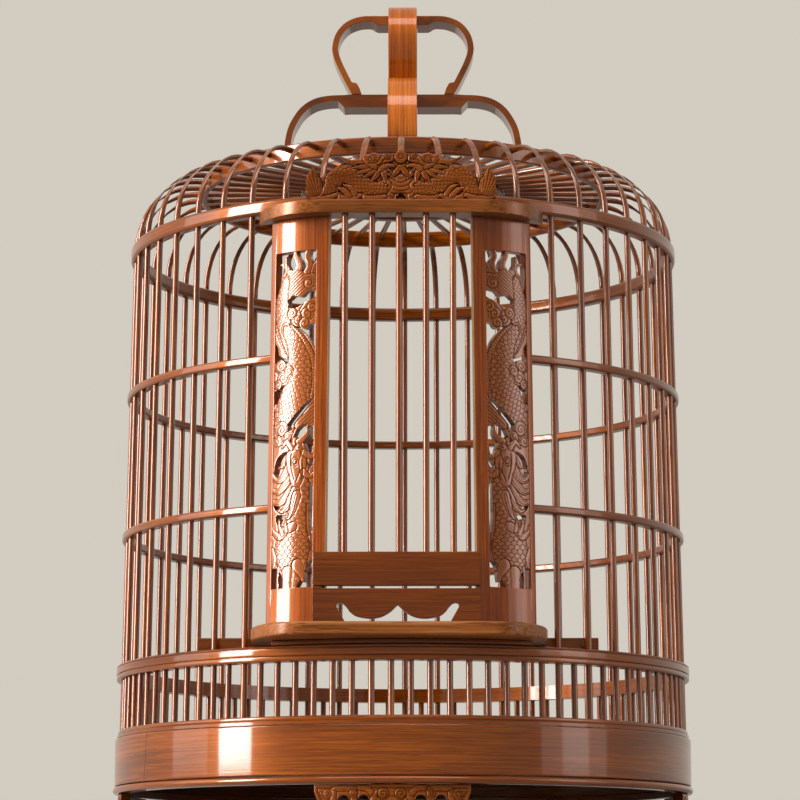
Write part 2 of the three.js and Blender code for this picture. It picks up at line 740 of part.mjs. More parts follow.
function makeHandle() {
  const bowShares = [
    [0.84, 0], [0.95, 0.06], [0.995, 0.18], [1, 0.33], [0.975, 0.55], [0.93, 0.7], [0.86, 0.84],
    [0.76, 0.94], [0.64, 0.985], [0.5, 0.995], [0.45, 1], [0, 1],
  ];
  const loopShares = [
    [0.72, 0], [0.82, 0.16], [0.94, 0.38], [0.99, 0.51], [1, 0.6], [0.97, 0.73], [0.9, 0.84], [0.79, 0.93],
    [0.64, 0.985], [0.5, 1], [0.32, 1], [0, 1],
  ];
  const bowThickness = (point) => swelling(point, bowMiddleHalf, bowMiddleThickness);
  const loopThickness = (point) => {
    const foot = point.y < loopHeight / 9 ? loopMiddleThickness : stripThickness;
    return Math.max(foot, swelling(point, loopMiddleHalf, loopMiddleThickness));
  };
  const bowFoot = crownTop + gap;
  const bow = bentStrip(bowShares, bowHalfWidth, bowHeight, bowThickness, bowFoot);
  crossed("handle_bow", bow, bowTop, bowMiddleThickness);
  const loop = bentStrip(loopShares, loopHalfWidth, loopHeight, loopThickness, bowTop + gap);
  crossed("handle_loop", loop, bowTop + gap + loopHeight, loopMiddleThickness);
}

// The thickness of a strip that is thicker over a stretch in its middle.
function swelling(point, half, thickness) {
  const past = Math.max(0, Math.abs(point.x) - half);
  const share = Math.max(0, 1 - past / middleTaper);
  return stripThickness + (thickness - stripThickness) * share;
}

// Four curved boards with an arch between two toes.
function makeFeet() {
  const outer = bandRadius - bandThickness;
  const halves = [
    [0, footArchHeight],
    [footArchWidth / 3, footArchHeight * 0.8],
    [footArchWidth / 2, 0],
    [footWidth / 2 - footSlope, 0],
    [footWidth / 2, footHeight - footEdge],
  ];
  const stations = [...halves.slice(1).map(([along, arch]) => [-along, arch]).reverse(), ...halves];
  for (const [name, middle] of Object.entries(footAngles)) {
    const sections = stations.map(([along, arch]) => {
      const profile = box(outer - footDepth, outer, arch, footHeight);
      return profile.map(([radius, height]) => polar(middle + along / outer, radius, height));
    });
    add(`foot_${name}`, loft(sections), dark);
  }
}

// The tray on its ledge, and the floor of rods above it.
function makeFloor() {
  const foot = bandFoot + ledgeRise + ledgeHeight + gap;
  const outer = liningRadius - liningDepth - 2 * gap;
  const top = foot + trayHeight;
  const wall = swept(box(outer - trayWall, outer, foot, top), evenAngles, true);
  const plateRadius = outer - trayWall / 2;
  const plate = new THREE.CylinderGeometry(plateRadius, plateRadius, trayWall, evenAngles.length);
  plate.rotateX(halfTurn / 2).translate(0, 0, foot + trayWall / 2);
  add("droppings_tray", join(wall, plate), metal);

  const grateFoot = top + gap;
  const grateTop = grateFoot + grateHeight;
  const ring = swept(box(outer - grateDepth, outer, grateFoot, grateTop), evenAngles, true);
  const reach = outer - grateDepth / 2;
  const rods = Array.from({ length: grateRods }, (_, k) => {
    const x = (2 * reach * (k + 1)) / (grateRods + 1) - reach;
    const length = 2 * Math.sqrt(reach ** 2 - x ** 2);
    const rod = new THREE.BoxGeometry(grateRodThickness, length, grateRodThickness);
    return rod.translate(x, 0, grateFoot + grateHeight / 2);
  });
  add("floor_grate", join(ring, ...rods), pale);
}

makeBase();
makeWall();
makeLowerRing();
makeHoops();
makeShoulder();
makeCrown();
makeLintel();
makeSill();
makePosts();
makeDoor();
makeCrest();
makeHandle();
makeFeet();
makeFloor();

// The origin in the middle of the footprint, between the sill's front and the bead at the back.
cage.children.forEach((mesh) => mesh.position.setY((sillReach - bandRadius - beadOverhang) / 2));

export default cage;
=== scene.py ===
# %% [markdown]
# A round bamboo bird cage with a carved door bay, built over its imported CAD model. Every stick, ring
# and board is modelled again here, smooth and at its real size, and gets a lacquered bamboo finish.
# The CAD model gives the places: each piece reads its size from the box of the node that it replaces.
# The places could also be typed, but then a change in the CAD model would leave this script behind.

# %% Load the frame
import math

import bpy
import numpy as np
from mathutils import Matrix, Vector


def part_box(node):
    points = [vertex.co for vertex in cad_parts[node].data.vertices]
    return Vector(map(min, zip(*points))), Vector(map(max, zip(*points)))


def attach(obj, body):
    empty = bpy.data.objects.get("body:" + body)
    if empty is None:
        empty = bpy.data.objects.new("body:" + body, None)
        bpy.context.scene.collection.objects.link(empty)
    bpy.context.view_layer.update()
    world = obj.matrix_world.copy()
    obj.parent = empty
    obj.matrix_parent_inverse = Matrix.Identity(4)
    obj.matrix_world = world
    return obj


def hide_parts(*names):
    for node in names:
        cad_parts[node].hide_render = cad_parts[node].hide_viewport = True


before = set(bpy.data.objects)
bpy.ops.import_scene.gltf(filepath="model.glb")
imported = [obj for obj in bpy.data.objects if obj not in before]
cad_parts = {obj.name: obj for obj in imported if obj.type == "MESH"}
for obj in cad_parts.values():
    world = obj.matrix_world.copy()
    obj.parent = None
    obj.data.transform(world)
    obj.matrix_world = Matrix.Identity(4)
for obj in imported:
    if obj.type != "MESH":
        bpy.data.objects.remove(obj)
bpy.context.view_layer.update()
MM = 0.001
FULL_TURN = 2 * math.pi
WALL_PANELS = [f"wall_bars_{k}" for k in range(1, 9)]
DOOR_BARS = [f"door_bar_{k}" for k in range(1, 6)]
print(len(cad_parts), "nodes in the frame")

# %% [markdown]
# The round cage has its own axis, a little behind the middle of the footprint, and every ring is
# centred on it. The boxes of the nodes give each ring's radius and levels, so nothing is typed twice.
# What a box can't show, such as the pitch of the bars, has a named value here.

# %% The cage's axis and the sizes of its rings
bead_low, bead_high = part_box("base_bead")
AXIS = Vector((0, (bead_low[1] + bead_high[1]) / 2, 0))


def levels(node):
    """A node's lowest and highest z."""
    low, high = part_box(node)
    return low[2], high[2]


def reach(node):
    """A ring's outer radius."""
    _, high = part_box(node)
    return max(high[0], high[1] - AXIS.y)


def polar(angle, radius, height):
    """A point round the cage: angle 0 is the door, and the angle grows towards +X."""
    return Vector((radius * math.sin(angle), AXIS.y - radius * math.cos(angle), height))


# the thickness of a drawn stick, and half of the angle that the door bay takes out of the wall
BAR = 3.5 * MM
BAY_HALF_ANGLE = math.radians(31.43)
WALL_BARS = 41
WALL_PITCH = (FULL_TURN - 2 * BAY_HALF_ANGLE) / (WALL_BARS - 1)
# the bars stand on one circle at the lower ring, and on a slightly smaller one at the shoulder
CIRCLE_LOW = 163.2 * MM
CIRCLE_HIGH = 159.5 * MM
LOWER_RING_TALL = 8.5 * MM
SPOKE_DROP = 3.6 * MM
ring_top = levels("lower_ring")[1]
ring_foot = ring_top - LOWER_RING_TALL
shoulder_top = levels("shoulder_ring")[1]
spoke_level = levels("dome_hoop")[1] - SPOKE_DROP
print("axis at y", round(AXIS.y / MM, 2), "mm, shoulder at", round(shoulder_top / MM, 1), "mm")

# %% [markdown]
# Small helpers come first. An operator acts on all that is selected, so each helper starts by selecting
# one piece alone and ends with nothing selected. Modifiers are applied at once, so that the next step
# works on real faces.

# %% Helpers for selecting, moving and applying


def leave():
    """Back to object mode with nothing selected."""
    if bpy.context.object and bpy.context.object.mode != "OBJECT":
        bpy.ops.object.mode_set(mode="OBJECT")
    bpy.ops.object.select_all(action="DESELECT")


def choose(piece):
    """Object mode with one piece selected and active."""
    leave()
    piece.select_set(True)
    bpy.context.view_layer.objects.active = piece


def edit(piece, kind="VERT"):
    """Goes into edit mode on one piece with all of it selected."""
    choose(piece)
    bpy.ops.object.mode_set(mode="EDIT")
    bpy.ops.mesh.select_mode(type=kind)
    bpy.ops.mesh.select_all(action="SELECT")


def face_outwards(piece):
    """Turns all faces of a closed piece outwards."""
    edit(piece)
    bpy.ops.mesh.normals_make_consistent(inside=False)
    leave()


def modified(piece, name, kind, **settings):
    """Adds one modifier with its settings, and applies it."""
    choose(piece)
    modifier = piece.modifiers.new(name, kind)
    for setting, value in settings.items():
        setattr(modifier, setting, value)
    bpy.ops.object.modifier_apply(modifier=name)
    leave()


def places_of(piece):
    """The places of a piece's vertices, as rows of x, y and z."""
    places = np.empty(3 * len(piece.data.vertices))
    piece.data.vertices.foreach_get("co", places)
    return places.reshape(-1, 3)


def move_to(piece, places):
    """Moves every vertex of a piece to a place of its own."""
    piece.data.vertices.foreach_set("co", np.array(places, dtype=float).ravel())
    piece.data.update()


# %% [markdown]
# A piece starts as a primitive of its size or as an outline of points. Sanded edges come from a bevel
# that only takes the sharp ones, and a hole or a notch from a cutter that a boolean takes away. What
# repeats is modelled once, copied and turned round the cage.

# %% Helpers for starting, cutting and copying pieces
CUTTER_EDGE = 0.01 * MM


def added(name):
    """Names the primitive that was just added, and applies its place to its mesh."""
    piece = bpy.context.object
    piece.name = piece.data.name = name
    bpy.ops.object.transform_apply(location=True, rotation=True, scale=True)
    return piece


def outline(name, points, filled=True):
    """A flat circle of vertices, each moved to one point of an outline."""
    leave()
    bpy.ops.mesh.primitive_circle_add(vertices=len(points), fill_type="NGON" if filled else "NOTHING")
    piece = added(name)
    move_to(piece, points)
    return piece


def cylinder(name, radius, length, middle, sides=24, lying=False):
    """A cylinder that stands up, or lies from front to back."""
    leave()
    turn = (math.pi / 2 if lying else 0, 0, 0)
    bpy.ops.mesh.primitive_cylinder_add(
        vertices=sides, radius=radius, depth=length, location=middle, rotation=turn
    )
    return added(name)


def soften(piece, width, angle=40, segments=2):
    """Rounds the sharp edges of a piece, as sanding does."""
    modified(
        piece, "sanded", "BEVEL", width=width, segments=segments, limit_method="ANGLE",
        angle_limit=math.radians(angle),
    )


def block(name, low, high, edge):
    """A cube primitive brought to size, with its edges sanded."""
    leave()
    middle = (Vector(low) + Vector(high)) / 2
    bpy.ops.mesh.primitive_cube_add(size=1, location=middle, scale=Vector(high) - Vector(low))
    piece = added(name)
    soften(piece, edge)
    return piece


def carve_away(piece, cutter):
    """Cuts one closed piece out of another and removes the cutter."""
    modified(piece, "cut", "BOOLEAN", operation="DIFFERENCE", solver="EXACT", object=cutter)
    bpy.data.objects.remove(cutter)


def thicken(piece, step):
    """Extrudes a flat piece by one step, which makes it a closed board."""
    edit(piece)
    bpy.ops.mesh.extrude_region_move(TRANSFORM_OT_translate={"value": step})
    face_outwards(piece)


def drop_faces(piece, unwanted):
    """Deletes the faces that are marked in a list of yes and no."""
    edit(piece, "FACE")
    bpy.ops.mesh.select_all(action="DESELECT")
    bpy.ops.object.mode_set(mode="OBJECT")
    piece.data.polygons.foreach_set("select", unwanted)
    bpy.ops.object.mode_set(mode="EDIT")
    bpy.ops.mesh.delete(type="FACE")
    leave()


def joined(pieces, name):
    """Several pieces as one mesh."""
    choose(pieces[0])
    for piece in pieces:
        piece.select_set(True)
    bpy.ops.object.join()
    whole = bpy.context.object
    whole.name = whole.data.name = name
    leave()
    return whole


def copied(piece, name, matrix=Matrix.Identity(4)):
    """A copy with a mesh of its own, moved by a matrix."""
    twin = piece.copy()
    twin.data = piece.data.copy()
    twin.name = twin.data.name = name
    bpy.context.collection.objects.link(twin)
    twin.data.transform(matrix)
    return twin


def turned(angle):
    """The matrix that turns a piece round the cage's axis."""
    return Matrix.Translation(AXIS) @ Matrix.Rotation(angle, 4, "Z") @ Matrix.Translation(-AXIS)


# %% [markdown]
# Most pieces are rings, bent from a straight strip. A ring could be a torus or a lathed curve, but a
# spun section is the plainest: the strip's cross section is drawn once and turned round the axis. An
# open hoop is the same spin, stopped early and closed at its two ends.

# %% Helpers for rings and curves
# the steps of a full turn on a ring that is seen close up and on the others, and how near two points
# count as one
ROUND_STEPS = 180
PLAIN_STEPS = 120
SAME_PLACE = 0.005 * MM


def spun(name, section, start=0.0, turn=FULL_TURN, steps=ROUND_STEPS):
    """A ring or an arc: a section of (radius, height) points, spun round the cage's axis."""
    whole = turn == FULL_TURN
    piece = outline(name, [polar(start, radius, height) for radius, height in section], filled=not whole)
    edit(piece)
    # a positive spin turns clockwise seen from above, and angles here grow the other way
    bpy.ops.mesh.spin(steps=steps, angle=-turn, center=AXIS, axis=(0, 0, 1), use_auto_merge=whole)
    bpy.ops.mesh.select_all(action="SELECT")
    bpy.ops.mesh.remove_doubles(threshold=SAME_PLACE)
    if not whole:
        bpy.ops.mesh.select_all(action="DESELECT")
        bpy.ops.mesh.select_non_manifold(use_wire=True, use_boundary=True)
        bpy.ops.mesh.edge_face_add()
    face_outwards(piece)
    return piece


def rounded(inner, outer, foot, top, radius, steps=3):
    """A rectangular section with its four corners rounded."""
    corners = [(outer, foot, -90), (outer, top, 0), (inner, top, 90), (inner, foot, 180)]
    points = []
    for across, height, first in corners:
        centre_across = across + (radius if across == inner else -radius)
        centre_height = height + (radius if height == foot else -radius)
        for step in range(steps + 1):
            angle = math.radians(first + 90 * step / steps)
            out, up = radius * math.cos(angle), radius * math.sin(angle)
            points.append((centre_across + out, centre_height + up))
    return points


def smooth_curve(points, steps=5, closed=False):
    """A smooth curve through points, with some steps from each to the next: a Catmull-Rom spline."""
    points = [np.array(point, dtype=float) for point in points]
    before, after = (points[-1:], points[:2]) if closed else (points[:1], points[-1:])
    path = [*before, *points, *after]
    curve = []
    for a, b, c, d in zip(path, path[1:], path[2:], path[3:]):
        slope, bend, twist = c - a, 2 * a - 5 * b + 4 * c - d, 3 * b - 3 * c + d - a
        for step in range(steps):
            t = step / steps
            curve.append(0.5 * (2 * b + slope * t + bend * t**2 + twist * t**3))
    return curve if closed else [*curve, points[-1]]


# %% [markdown]
# Bamboo shows fine fibres along its length, also where it is bent. A pattern on the object's own
# coordinates would run straight through a hoop, and an unwrapped UV map has seams. So each corner of a
# face stores the place in the bamboo that it was cut from, with the fibres along the first number, and
# a finish can follow a hoop round the cage or a bar over the dome.

# %% Helpers for grain


def corners_of(piece):
    """Each face corner's place, and the middle of its face."""
    mesh = piece.data
    vertex = np.empty(len(mesh.loops), dtype=np.int32)
    mesh.loops.foreach_get("vertex_index", vertex)
    sizes = np.empty(len(mesh.polygons), dtype=np.int32)
    mesh.polygons.foreach_get("loop_total", sizes)
    middles = np.empty(3 * len(mesh.polygons))
    mesh.polygons.foreach_get("center", middles)
    return places_of(piece)[vertex], np.repeat(middles.reshape(-1, 3), sizes, axis=0)


def unrolled(points, middles):
    """For each corner, its radius, its face's angle round the cage, and how far it lies off that."""
    middle, own = (np.arctan2(spots[:, 0], AXIS.y - spots[:, 1]) for spots in (middles, points))
    off = (own - middle + math.pi) % FULL_TURN - math.pi
    return np.hypot(points[:, 0], points[:, 1] - AXIS.y), middle, off


def around(points, middles):
    """Fibres round the cage, as in a bent hoop. The pattern's two ends meet at the back."""
    radius, middle, off = unrolled(points, middles)
    return np.stack([(middle + off) * CIRCLE_LOW, points[:, 2], radius], axis=1)


def upright(points, middles):
    """Fibres up the wall and inwards over the dome, as in a bent bar."""
    radius, middle, off = unrolled(points, middles)
    return np.stack([points[:, 2] - radius, middle * CIRCLE_LOW + off * radius, 0 * radius], axis=1)


def straight(order):
    """Fibres along one of the three directions: order names it first, then the two across it."""

    def rule(points, middles):
        return points[:, order]

    return rule


def bent_strip(axis, centre_height, radius):
    """Fibres along a strip that is bent over a middle: axis is the strip's direction seen from above."""

    def rule(points, middles):
        side = points[:, axis] - AXIS[axis]
        angle = np.arctan2(side, points[:, 2] - centre_height)
        return np.stack([angle * radius, points[:, 1 - axis], 0 * side], axis=1)

    return rule


along_x = straight([0, 1, 2])
along_y = straight([1, 0, 2])
along_z = straight([2, 0, 1])


def set_grain(piece, rule, shift=0.0):
    """Stores the grain's coordinates on the piece, moved along so that no two pieces look alike."""
    values = rule(*corners_of(piece)) + shift
    layer = piece.data.attributes.new("grain", "FLOAT_VECTOR", "CORNER")
    layer.data.foreach_set("vector", values.astype(np.float32).ravel())


# %% [markdown]
# A finished piece is shaded smooth, but its flat faces must stay flat under a highlight. Plain smooth
# shading would bend the light over a whole board, so a weighted normal lets the large faces decide.

# %% Helper for finished pieces
GRAIN_SHIFT = 0.137
made = []


def finish(piece, finish_material, grain_rule, nodes, body="cage", smooth=40):
    """Grain, finish, smooth shading, and the CAD nodes that the piece stands for."""
    choose(piece)
    bpy.ops.object.shade_smooth_by_angle(angle=math.radians(smooth))
    modified(piece, "flat faces stay flat", "WEIGHTED_NORMAL", keep_sharp=True)
    if grain_rule:
        set_grain(piece, grain_rule, len(made) * GRAIN_SHIFT)
    piece.data.materials.clear()
    piece.data.materials.append(finish_material)
    if nodes:
        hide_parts(*nodes)
    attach(piece, body)
    made.append(piece)
    leave()
    print(piece.name, len(piece.data.polygons), "faces")


# %% [markdown]
# The camera stands in front of the door, just below the height of the base, and looks up. Its distance,
# tilt and lens were worked out from the ovals of the hoops in the photograph.

# %% Camera
# distances in metres, and the sensor in millimetres
CAMERA_DISTANCE = 1.7635
CAMERA_DROP = 0.0499
CAMERA_TILT = math.radians(9.8)
CAMERA_TURN = math.radians(0.4)
FOCAL_PIXELS = 2993.3
PICTURE_PIXELS = 800
AXIS_PIXEL = 403
SENSOR = 36
FARTHEST = 50
bpy.ops.object.camera_add(
    location=polar(CAMERA_TURN, CAMERA_DISTANCE, -CAMERA_DROP),
    rotation=(math.pi / 2 + CAMERA_TILT, 0, CAMERA_TURN),
)
camera = bpy.context.object
camera.name = "camera"
camera.data.sensor_width = SENSOR
camera.data.lens = FOCAL_PIXELS / PICTURE_PIXELS * SENSOR
camera.data.shift_x = (PICTURE_PIXELS / 2 - AXIS_PIXEL) / PICTURE_PIXELS
camera.data.clip_end = FARTHEST
bpy.context.scene.camera = camera
print("lens", round(camera.data.lens, 1), "mm")

# %% [markdown]
# Bamboo for such a cage is steamed until it turns brown all through, split and drawn into sticks and
# strips, bent over heat, rubbed with oil and given several coats of clear lacquer. To the eye that is an
# orange brown with fine darker fibres along each strip, slow changes of tone, and a hard gloss on top.
# A picture of bamboo could be wrapped round the pieces, but noise that is stretched along the grain
# gives fibres at any size, with no seam. The lacquer is the shader's coat, which lies over it all.

# %% Helpers for materials


def colour(code):
    """An sRGB hex colour as the linear values that a shader takes."""
    parts = [int(code[i:i + 2], 16) / 255 for i in (1, 3, 5)]
    linear = [p / 12.92 if p <= 0.04045 else ((p + 0.055) / 1.055) ** 2.4 for p in parts]
    return (*linear, 1.0)


def add(tree, kind, links=None, values=None, **settings):
    """Adds a node with its settings, its sockets' values and the links that come into it."""
    made_node = tree.nodes.new(kind)
    for name, value in settings.items():
        setattr(made_node, name, value)
    for name, value in (values or {}).items():
        made_node.inputs[name].default_value = value
    for name, source in (links or {}).items():
        tree.links.new(source, made_node.inputs[name])
    return made_node


def new_material(name, slot=None):
    """An empty material and its node tree. Its slot is the record's name for such a finish."""
    material = bpy.data.materials.new(name)
    material.use_nodes = True
    material.node_tree.nodes.clear()
    if slot:
        material["slot"] = slot
    return material, material.node_tree


# %% Bamboo under lacquer
# a Mix node's sockets for colours
MIX_FROM, MIX_TO, MIX_RESULT = 6, 7, 2
# lacquer bends light as most clear varnishes do, and the fibres under it glint orange
LACQUER_IOR = 1.5
FIBRE_SHEEN = colour("#DC7420")
# a patch of even tone is about 110 mm long and 17 mm wide
PATCHES_PER_METRE = (9, 60, 60)
# a fibre is drawn 60 times as long as it is wide, and a vessel is short and finer than a fibre
FIBRE_LENGTHS = 60
VESSEL_LENGTHS = 14
VESSEL_FINENESS = 1.9
# where the noise takes the darkest, the middle and the palest shade
SHADE_PLACES = (0.36, 0.5, 0.64)
# the fibres stand up by hundredths of a millimetre, and the lacquer over them ripples a little
FIBRE_HEIGHT = 0.03 * MM
RIPPLE_HEIGHT = 0.02 * MM


def bamboo(
    name, slot, shades, fibre=0.75, gloss=0.07, coat=0.65, rough=0.33, speckle=0.12, cut_stain_and_shade=None,
):
    """Bamboo under lacquer: shades run from the darkest fibre to the palest, fibre is the spacing of the
    visible fibres in millimetres, several real ones wide so that they show, speckle is how much the short
    dark vessels stand out, and the cut colour is painted into a carving's hollows: the stain that stays
    there, and painted shade where the cuts are too fine to cast their own."""
    material, tree = new_material(name, slot)
    grain = add(tree, "ShaderNodeAttribute", attribute_name="grain").outputs["Vector"]
    per_metre = 1 / (fibre * MM)
    slow = add(tree, "ShaderNodeVectorMath", {0: grain}, {1: PATCHES_PER_METRE}, operation="MULTIPLY")
    fine = add(
        tree, "ShaderNodeVectorMath", {0: grain}, {1: (per_metre / FIBRE_LENGTHS, per_metre, per_metre)},
        operation="MULTIPLY",
    )
    finer = per_metre * VESSEL_FINENESS
    short = add(
        tree, "ShaderNodeVectorMath", {0: grain}, {1: (per_metre / VESSEL_LENGTHS, finer, finer)},
        operation="MULTIPLY",
    )
    tone = add(tree, "ShaderNodeTexNoise", {"Vector": slow.outputs[0]}, {"Scale": 1.0, "Detail": 2.0})
    fibres = add(
        tree, "ShaderNodeTexNoise", {"Vector": fine.outputs[0]},
        {"Scale": 1.0, "Detail": 3.0, "Roughness": 0.6},
    )
    vessels = add(tree, "ShaderNodeTexNoise", {"Vector": short.outputs[0]}, {"Scale": 1.0, "Detail": 1.0})
    spots = add(
        tree, "ShaderNodeMapRange", {"Value": vessels.outputs["Fac"]},
        {"From Min": 0.58, "From Max": 0.74, "To Min": 0.0, "To Max": speckle},
    )
    even = add(
        tree, "ShaderNodeMix", {"A": tone.outputs["Fac"], "B": fibres.outputs["Fac"]}, {"Factor": 0.65},
        data_type="FLOAT",
    )
    shade = add(
        tree, "ShaderNodeMath", {0: even.outputs["Result"], 1: spots.outputs["Result"]},
        operation="SUBTRACT",
    )
    ramp = add(tree, "ShaderNodeValToRGB", {"Fac": shade.outputs[0]})
    ramp.color_ramp.elements.new(SHADE_PLACES[1])
    for element, place, code in zip(ramp.color_ramp.elements, SHADE_PLACES, shades):
        element.position = place
        element.color = colour(code)
    tint = ramp.outputs["Color"]
    # painted shade: the hollows of a carving take the cut colour, for the stain there and for the shade that
    # the fine cuts are too narrow to cast
    if cut_stain_and_shade:
        hollow = add(tree, "ShaderNodeAttribute", attribute_name="hollow").outputs["Fac"]
        stained_and_shaded = add(
            tree, "ShaderNodeMix", {"Factor": hollow, MIX_FROM: tint}, {MIX_TO: colour(cut_stain_and_shade)},
            data_type="RGBA",
        )
        tint = stained_and_shaded.outputs[MIX_RESULT]
    bump = add(
        tree, "ShaderNodeBump", {"Height": fibres.outputs["Fac"]}, {"Strength": 0.3, "Distance": FIBRE_HEIGHT}
    )
    ripple = add(
        tree, "ShaderNodeBump", {"Height": shade.outputs[0]}, {"Strength": 0.35, "Distance": RIPPLE_HEIGHT}
    )
    surface = add(
        tree, "ShaderNodeBsdfPrincipled",
        {"Base Color": tint, "Normal": bump.outputs["Normal"], "Coat Normal": ripple.outputs["Normal"]},
        {"Roughness": rough, "IOR": LACQUER_IOR, "Specular IOR Level": 0.85, "Specular Tint": FIBRE_SHEEN,
         "Coat Weight": coat, "Coat Roughness": gloss, "Coat IOR": LACQUER_IOR},
    )
    if cut_stain_and_shade:
        # the brush passes over the hollows of a carving, so no lacquer lies there
        dry = add(tree, "ShaderNodeMapRange", {"Value": hollow}, {"To Min": coat, "To Max": 0.0})
        tree.links.new(dry.outputs["Result"], surface.inputs["Coat Weight"])
    add(tree, "ShaderNodeOutputMaterial", {"Surface": surface.outputs["BSDF"]})
    return material


# %% [markdown]
# One recipe serves all the bamboo, and each finish below says how its strips were cut and coated. Most shades
# are read as the bamboo's own colour under the gloss, and some finishes paint light or shade into theirs, as
# their notes say. The orange of the whole cage comes from the coat's reflections over them.

# %% The finishes
# bent rings and strips, brushed and polished: clear long highlights over a warm brown
STEAMED = bamboo("steamed_bamboo_lacquered", "lacquered_bamboo", ("#461B00", "#672D00", "#864204"))
# sticks drawn through a steel die and dipped, so that each shows one thin bright line
STEAMED_BARS = bamboo(
    "drawn_bamboo_sticks_lacquered", "lacquered_bamboo", ("#421900", "#652C00", "#864608"), fibre=0.7,
    coat=1.0, gloss=0.1,
)
# strips inside the base, under the sill and in the dome: their darker shades are painted shade for the shade
# they stand in, and fewer coats make them duller
STEAMED_SHADED = bamboo(
    "steamed_bamboo_in_shade", "dark_bamboo", ("#341400", "#502202", "#683406"), coat=0.5, gloss=0.1
)
# the posts' frames take the rings' bamboo in paler, redder shades: painted light, raised towards the
# brightness that the strong light from the left gives the left post
POST = bamboo("steamed_bamboo_posts", "lacquered_bamboo", ("#582100", "#7E3400", "#A25004"), coat=0.6)
# carved posts: bright on the raised parts, and nearly black in the cuts, where stain stays and shade is
# painted in as well
CARVED = bamboo(
    "carved_bamboo_lacquered", "carved_wood", ("#5A2500", "#7A3802", "#96500C"), gloss=0.09, coat=1.0,
    speckle=0.05, cut_stain_and_shade="#180700",
)
# crest and feet: oiled more than lacquered, so the carving looks soft and dark, and their cuts are darkened
# like the posts': stain with painted shade
CARVED_DARK = bamboo(
    "carved_bamboo_oiled", "carved_wood", ("#481D00", "#682E02", "#80440C"), gloss=0.2, coat=0.35,
    rough=0.5, speckle=0.05, cut_stain_and_shade="#1C0A00",
)
# the door's rail, the slat and the beam are planed flat, in darker shades than the rings
PLANED = bamboo(
    "planed_bamboo_dark", "dark_bamboo", ("#3C1700", "#5A2502", "#723608"), gloss=0.12, coat=0.5
)
# the sill is sawn from a wide culm: coarse fibres with dark vessels, and little gloss
BOARD = bamboo(
    "sawn_bamboo_board", "pale_bamboo", ("#542A0E", "#80481E", "#9E6836"), fibre=1.3, gloss=0.25,
    coat=0.3, rough=0.5, speckle=0.3,
)
# the lintel is sawn the same way and coated once more
LINTEL = bamboo(
    "sawn_bamboo_lintel", "lacquered_bamboo", ("#4E2608", "#743E14", "#905826"), fibre=1.1, gloss=0.2,
    coat=0.4, speckle=0.3,
)
# the handle's strips that run from front to back show their broad faces to the front, and their paler, clear
# orange shades are painted light on those faces
STEAMED_PAINTED_LIT = bamboo("steamed_bamboo_painted_lit", "lacquered_bamboo", ("#7A3606", "#A04E0C", "#BE6A20"))
# a sawn edge shows the bamboo's pale flesh, and its shades are painted paler still as the highlight that the
# door-side edges catch
CUT_EDGE = bamboo(
    "cut_bamboo_edge", "pale_bamboo", ("#8E5C2C", "#B98450", "#D2A474"), fibre=0.6, gloss=0.2, coat=0.4
)
# the floor's rods are scraped and left nearly bare, since they are washed
RAW = bamboo(
    "raw_bamboo_scraped", "pale_bamboo", ("#8F6A38", "#B08A52", "#C8A670"), gloss=0.3, coat=0.1, rough=0.55
)

# %% [markdown]
# The tray is tin plate: thin steel with a skin of tin, dull from washing. Its look lies in its
# roughness, which is cloudy, and in faint scouring. A painted grey would reflect nothing, so the metal
# is a true one in the shader, and two noises change its colour and its roughness together.

# %% Tin for the tray
# clouds of dullness are about 17 mm wide, and the scouring is 33 mm long and 1 mm wide, coarser than
# the real scratches so that it shows
CLOUDS_PER_METRE = (60, 60, 60)
SCOURS_PER_METRE = (30, 900, 900)
SCOUR_HEIGHT = 0.02 * MM


def tinned_steel():
    """Tin plate, dull from washing: a grey metal with cloudy patches and faint scouring round the tray."""
    material, tree = new_material("tinned_steel_dulled", "tray_metal")
    grain = add(tree, "ShaderNodeAttribute", attribute_name="grain").outputs["Vector"]
    wide = add(tree, "ShaderNodeVectorMath", {0: grain}, {1: CLOUDS_PER_METRE}, operation="MULTIPLY")
    patches = add(tree, "ShaderNodeTexNoise", {"Vector": wide.outputs[0]}, {"Scale": 1.0, "Detail": 4.0})
    fine = add(tree, "ShaderNodeVectorMath", {0: grain}, {1: SCOURS_PER_METRE}, operation="MULTIPLY")
    scours = add(tree, "ShaderNodeTexNoise", {"Vector": fine.outputs[0]}, {"Scale": 1.0, "Detail": 2.0})
    tint = add(
        tree, "ShaderNodeMix", {"Factor": patches.outputs["Fac"]},
        {MIX_FROM: colour("#8E9091"), MIX_TO: colour("#B9BBBC")}, data_type="RGBA",
    )
    dull = add(
        tree, "ShaderNodeMapRange", {"Value": patches.outputs["Fac"]}, {"To Min": 0.28, "To Max": 0.5}
    )
    bump = add(
        tree, "ShaderNodeBump", {"Height": scours.outputs["Fac"]}, {"Strength": 0.2, "Distance": SCOUR_HEIGHT}
    )
    surface = add(
        tree, "ShaderNodeBsdfPrincipled",
        {"Base Color": tint.outputs[MIX_RESULT], "Roughness": dull.outputs["Result"],
         "Normal": bump.outputs["Normal"]},
        {"Metallic": 1.0},
    )
    add(tree, "ShaderNodeOutputMaterial", {"Surface": surface.outputs["BSDF"]})
    return material


TIN = tinned_steel()
print(len(bpy.data.materials), "materials")

# %% [markdown]
# The wide strip, the bead and the rim of the base are strips that were bent to a circle. Each is a
# section spun round the axis, with corners rounded as scraping leaves them. The bead has a round nose,
# and the rim a small moulding that was cut with a shaped scraper.

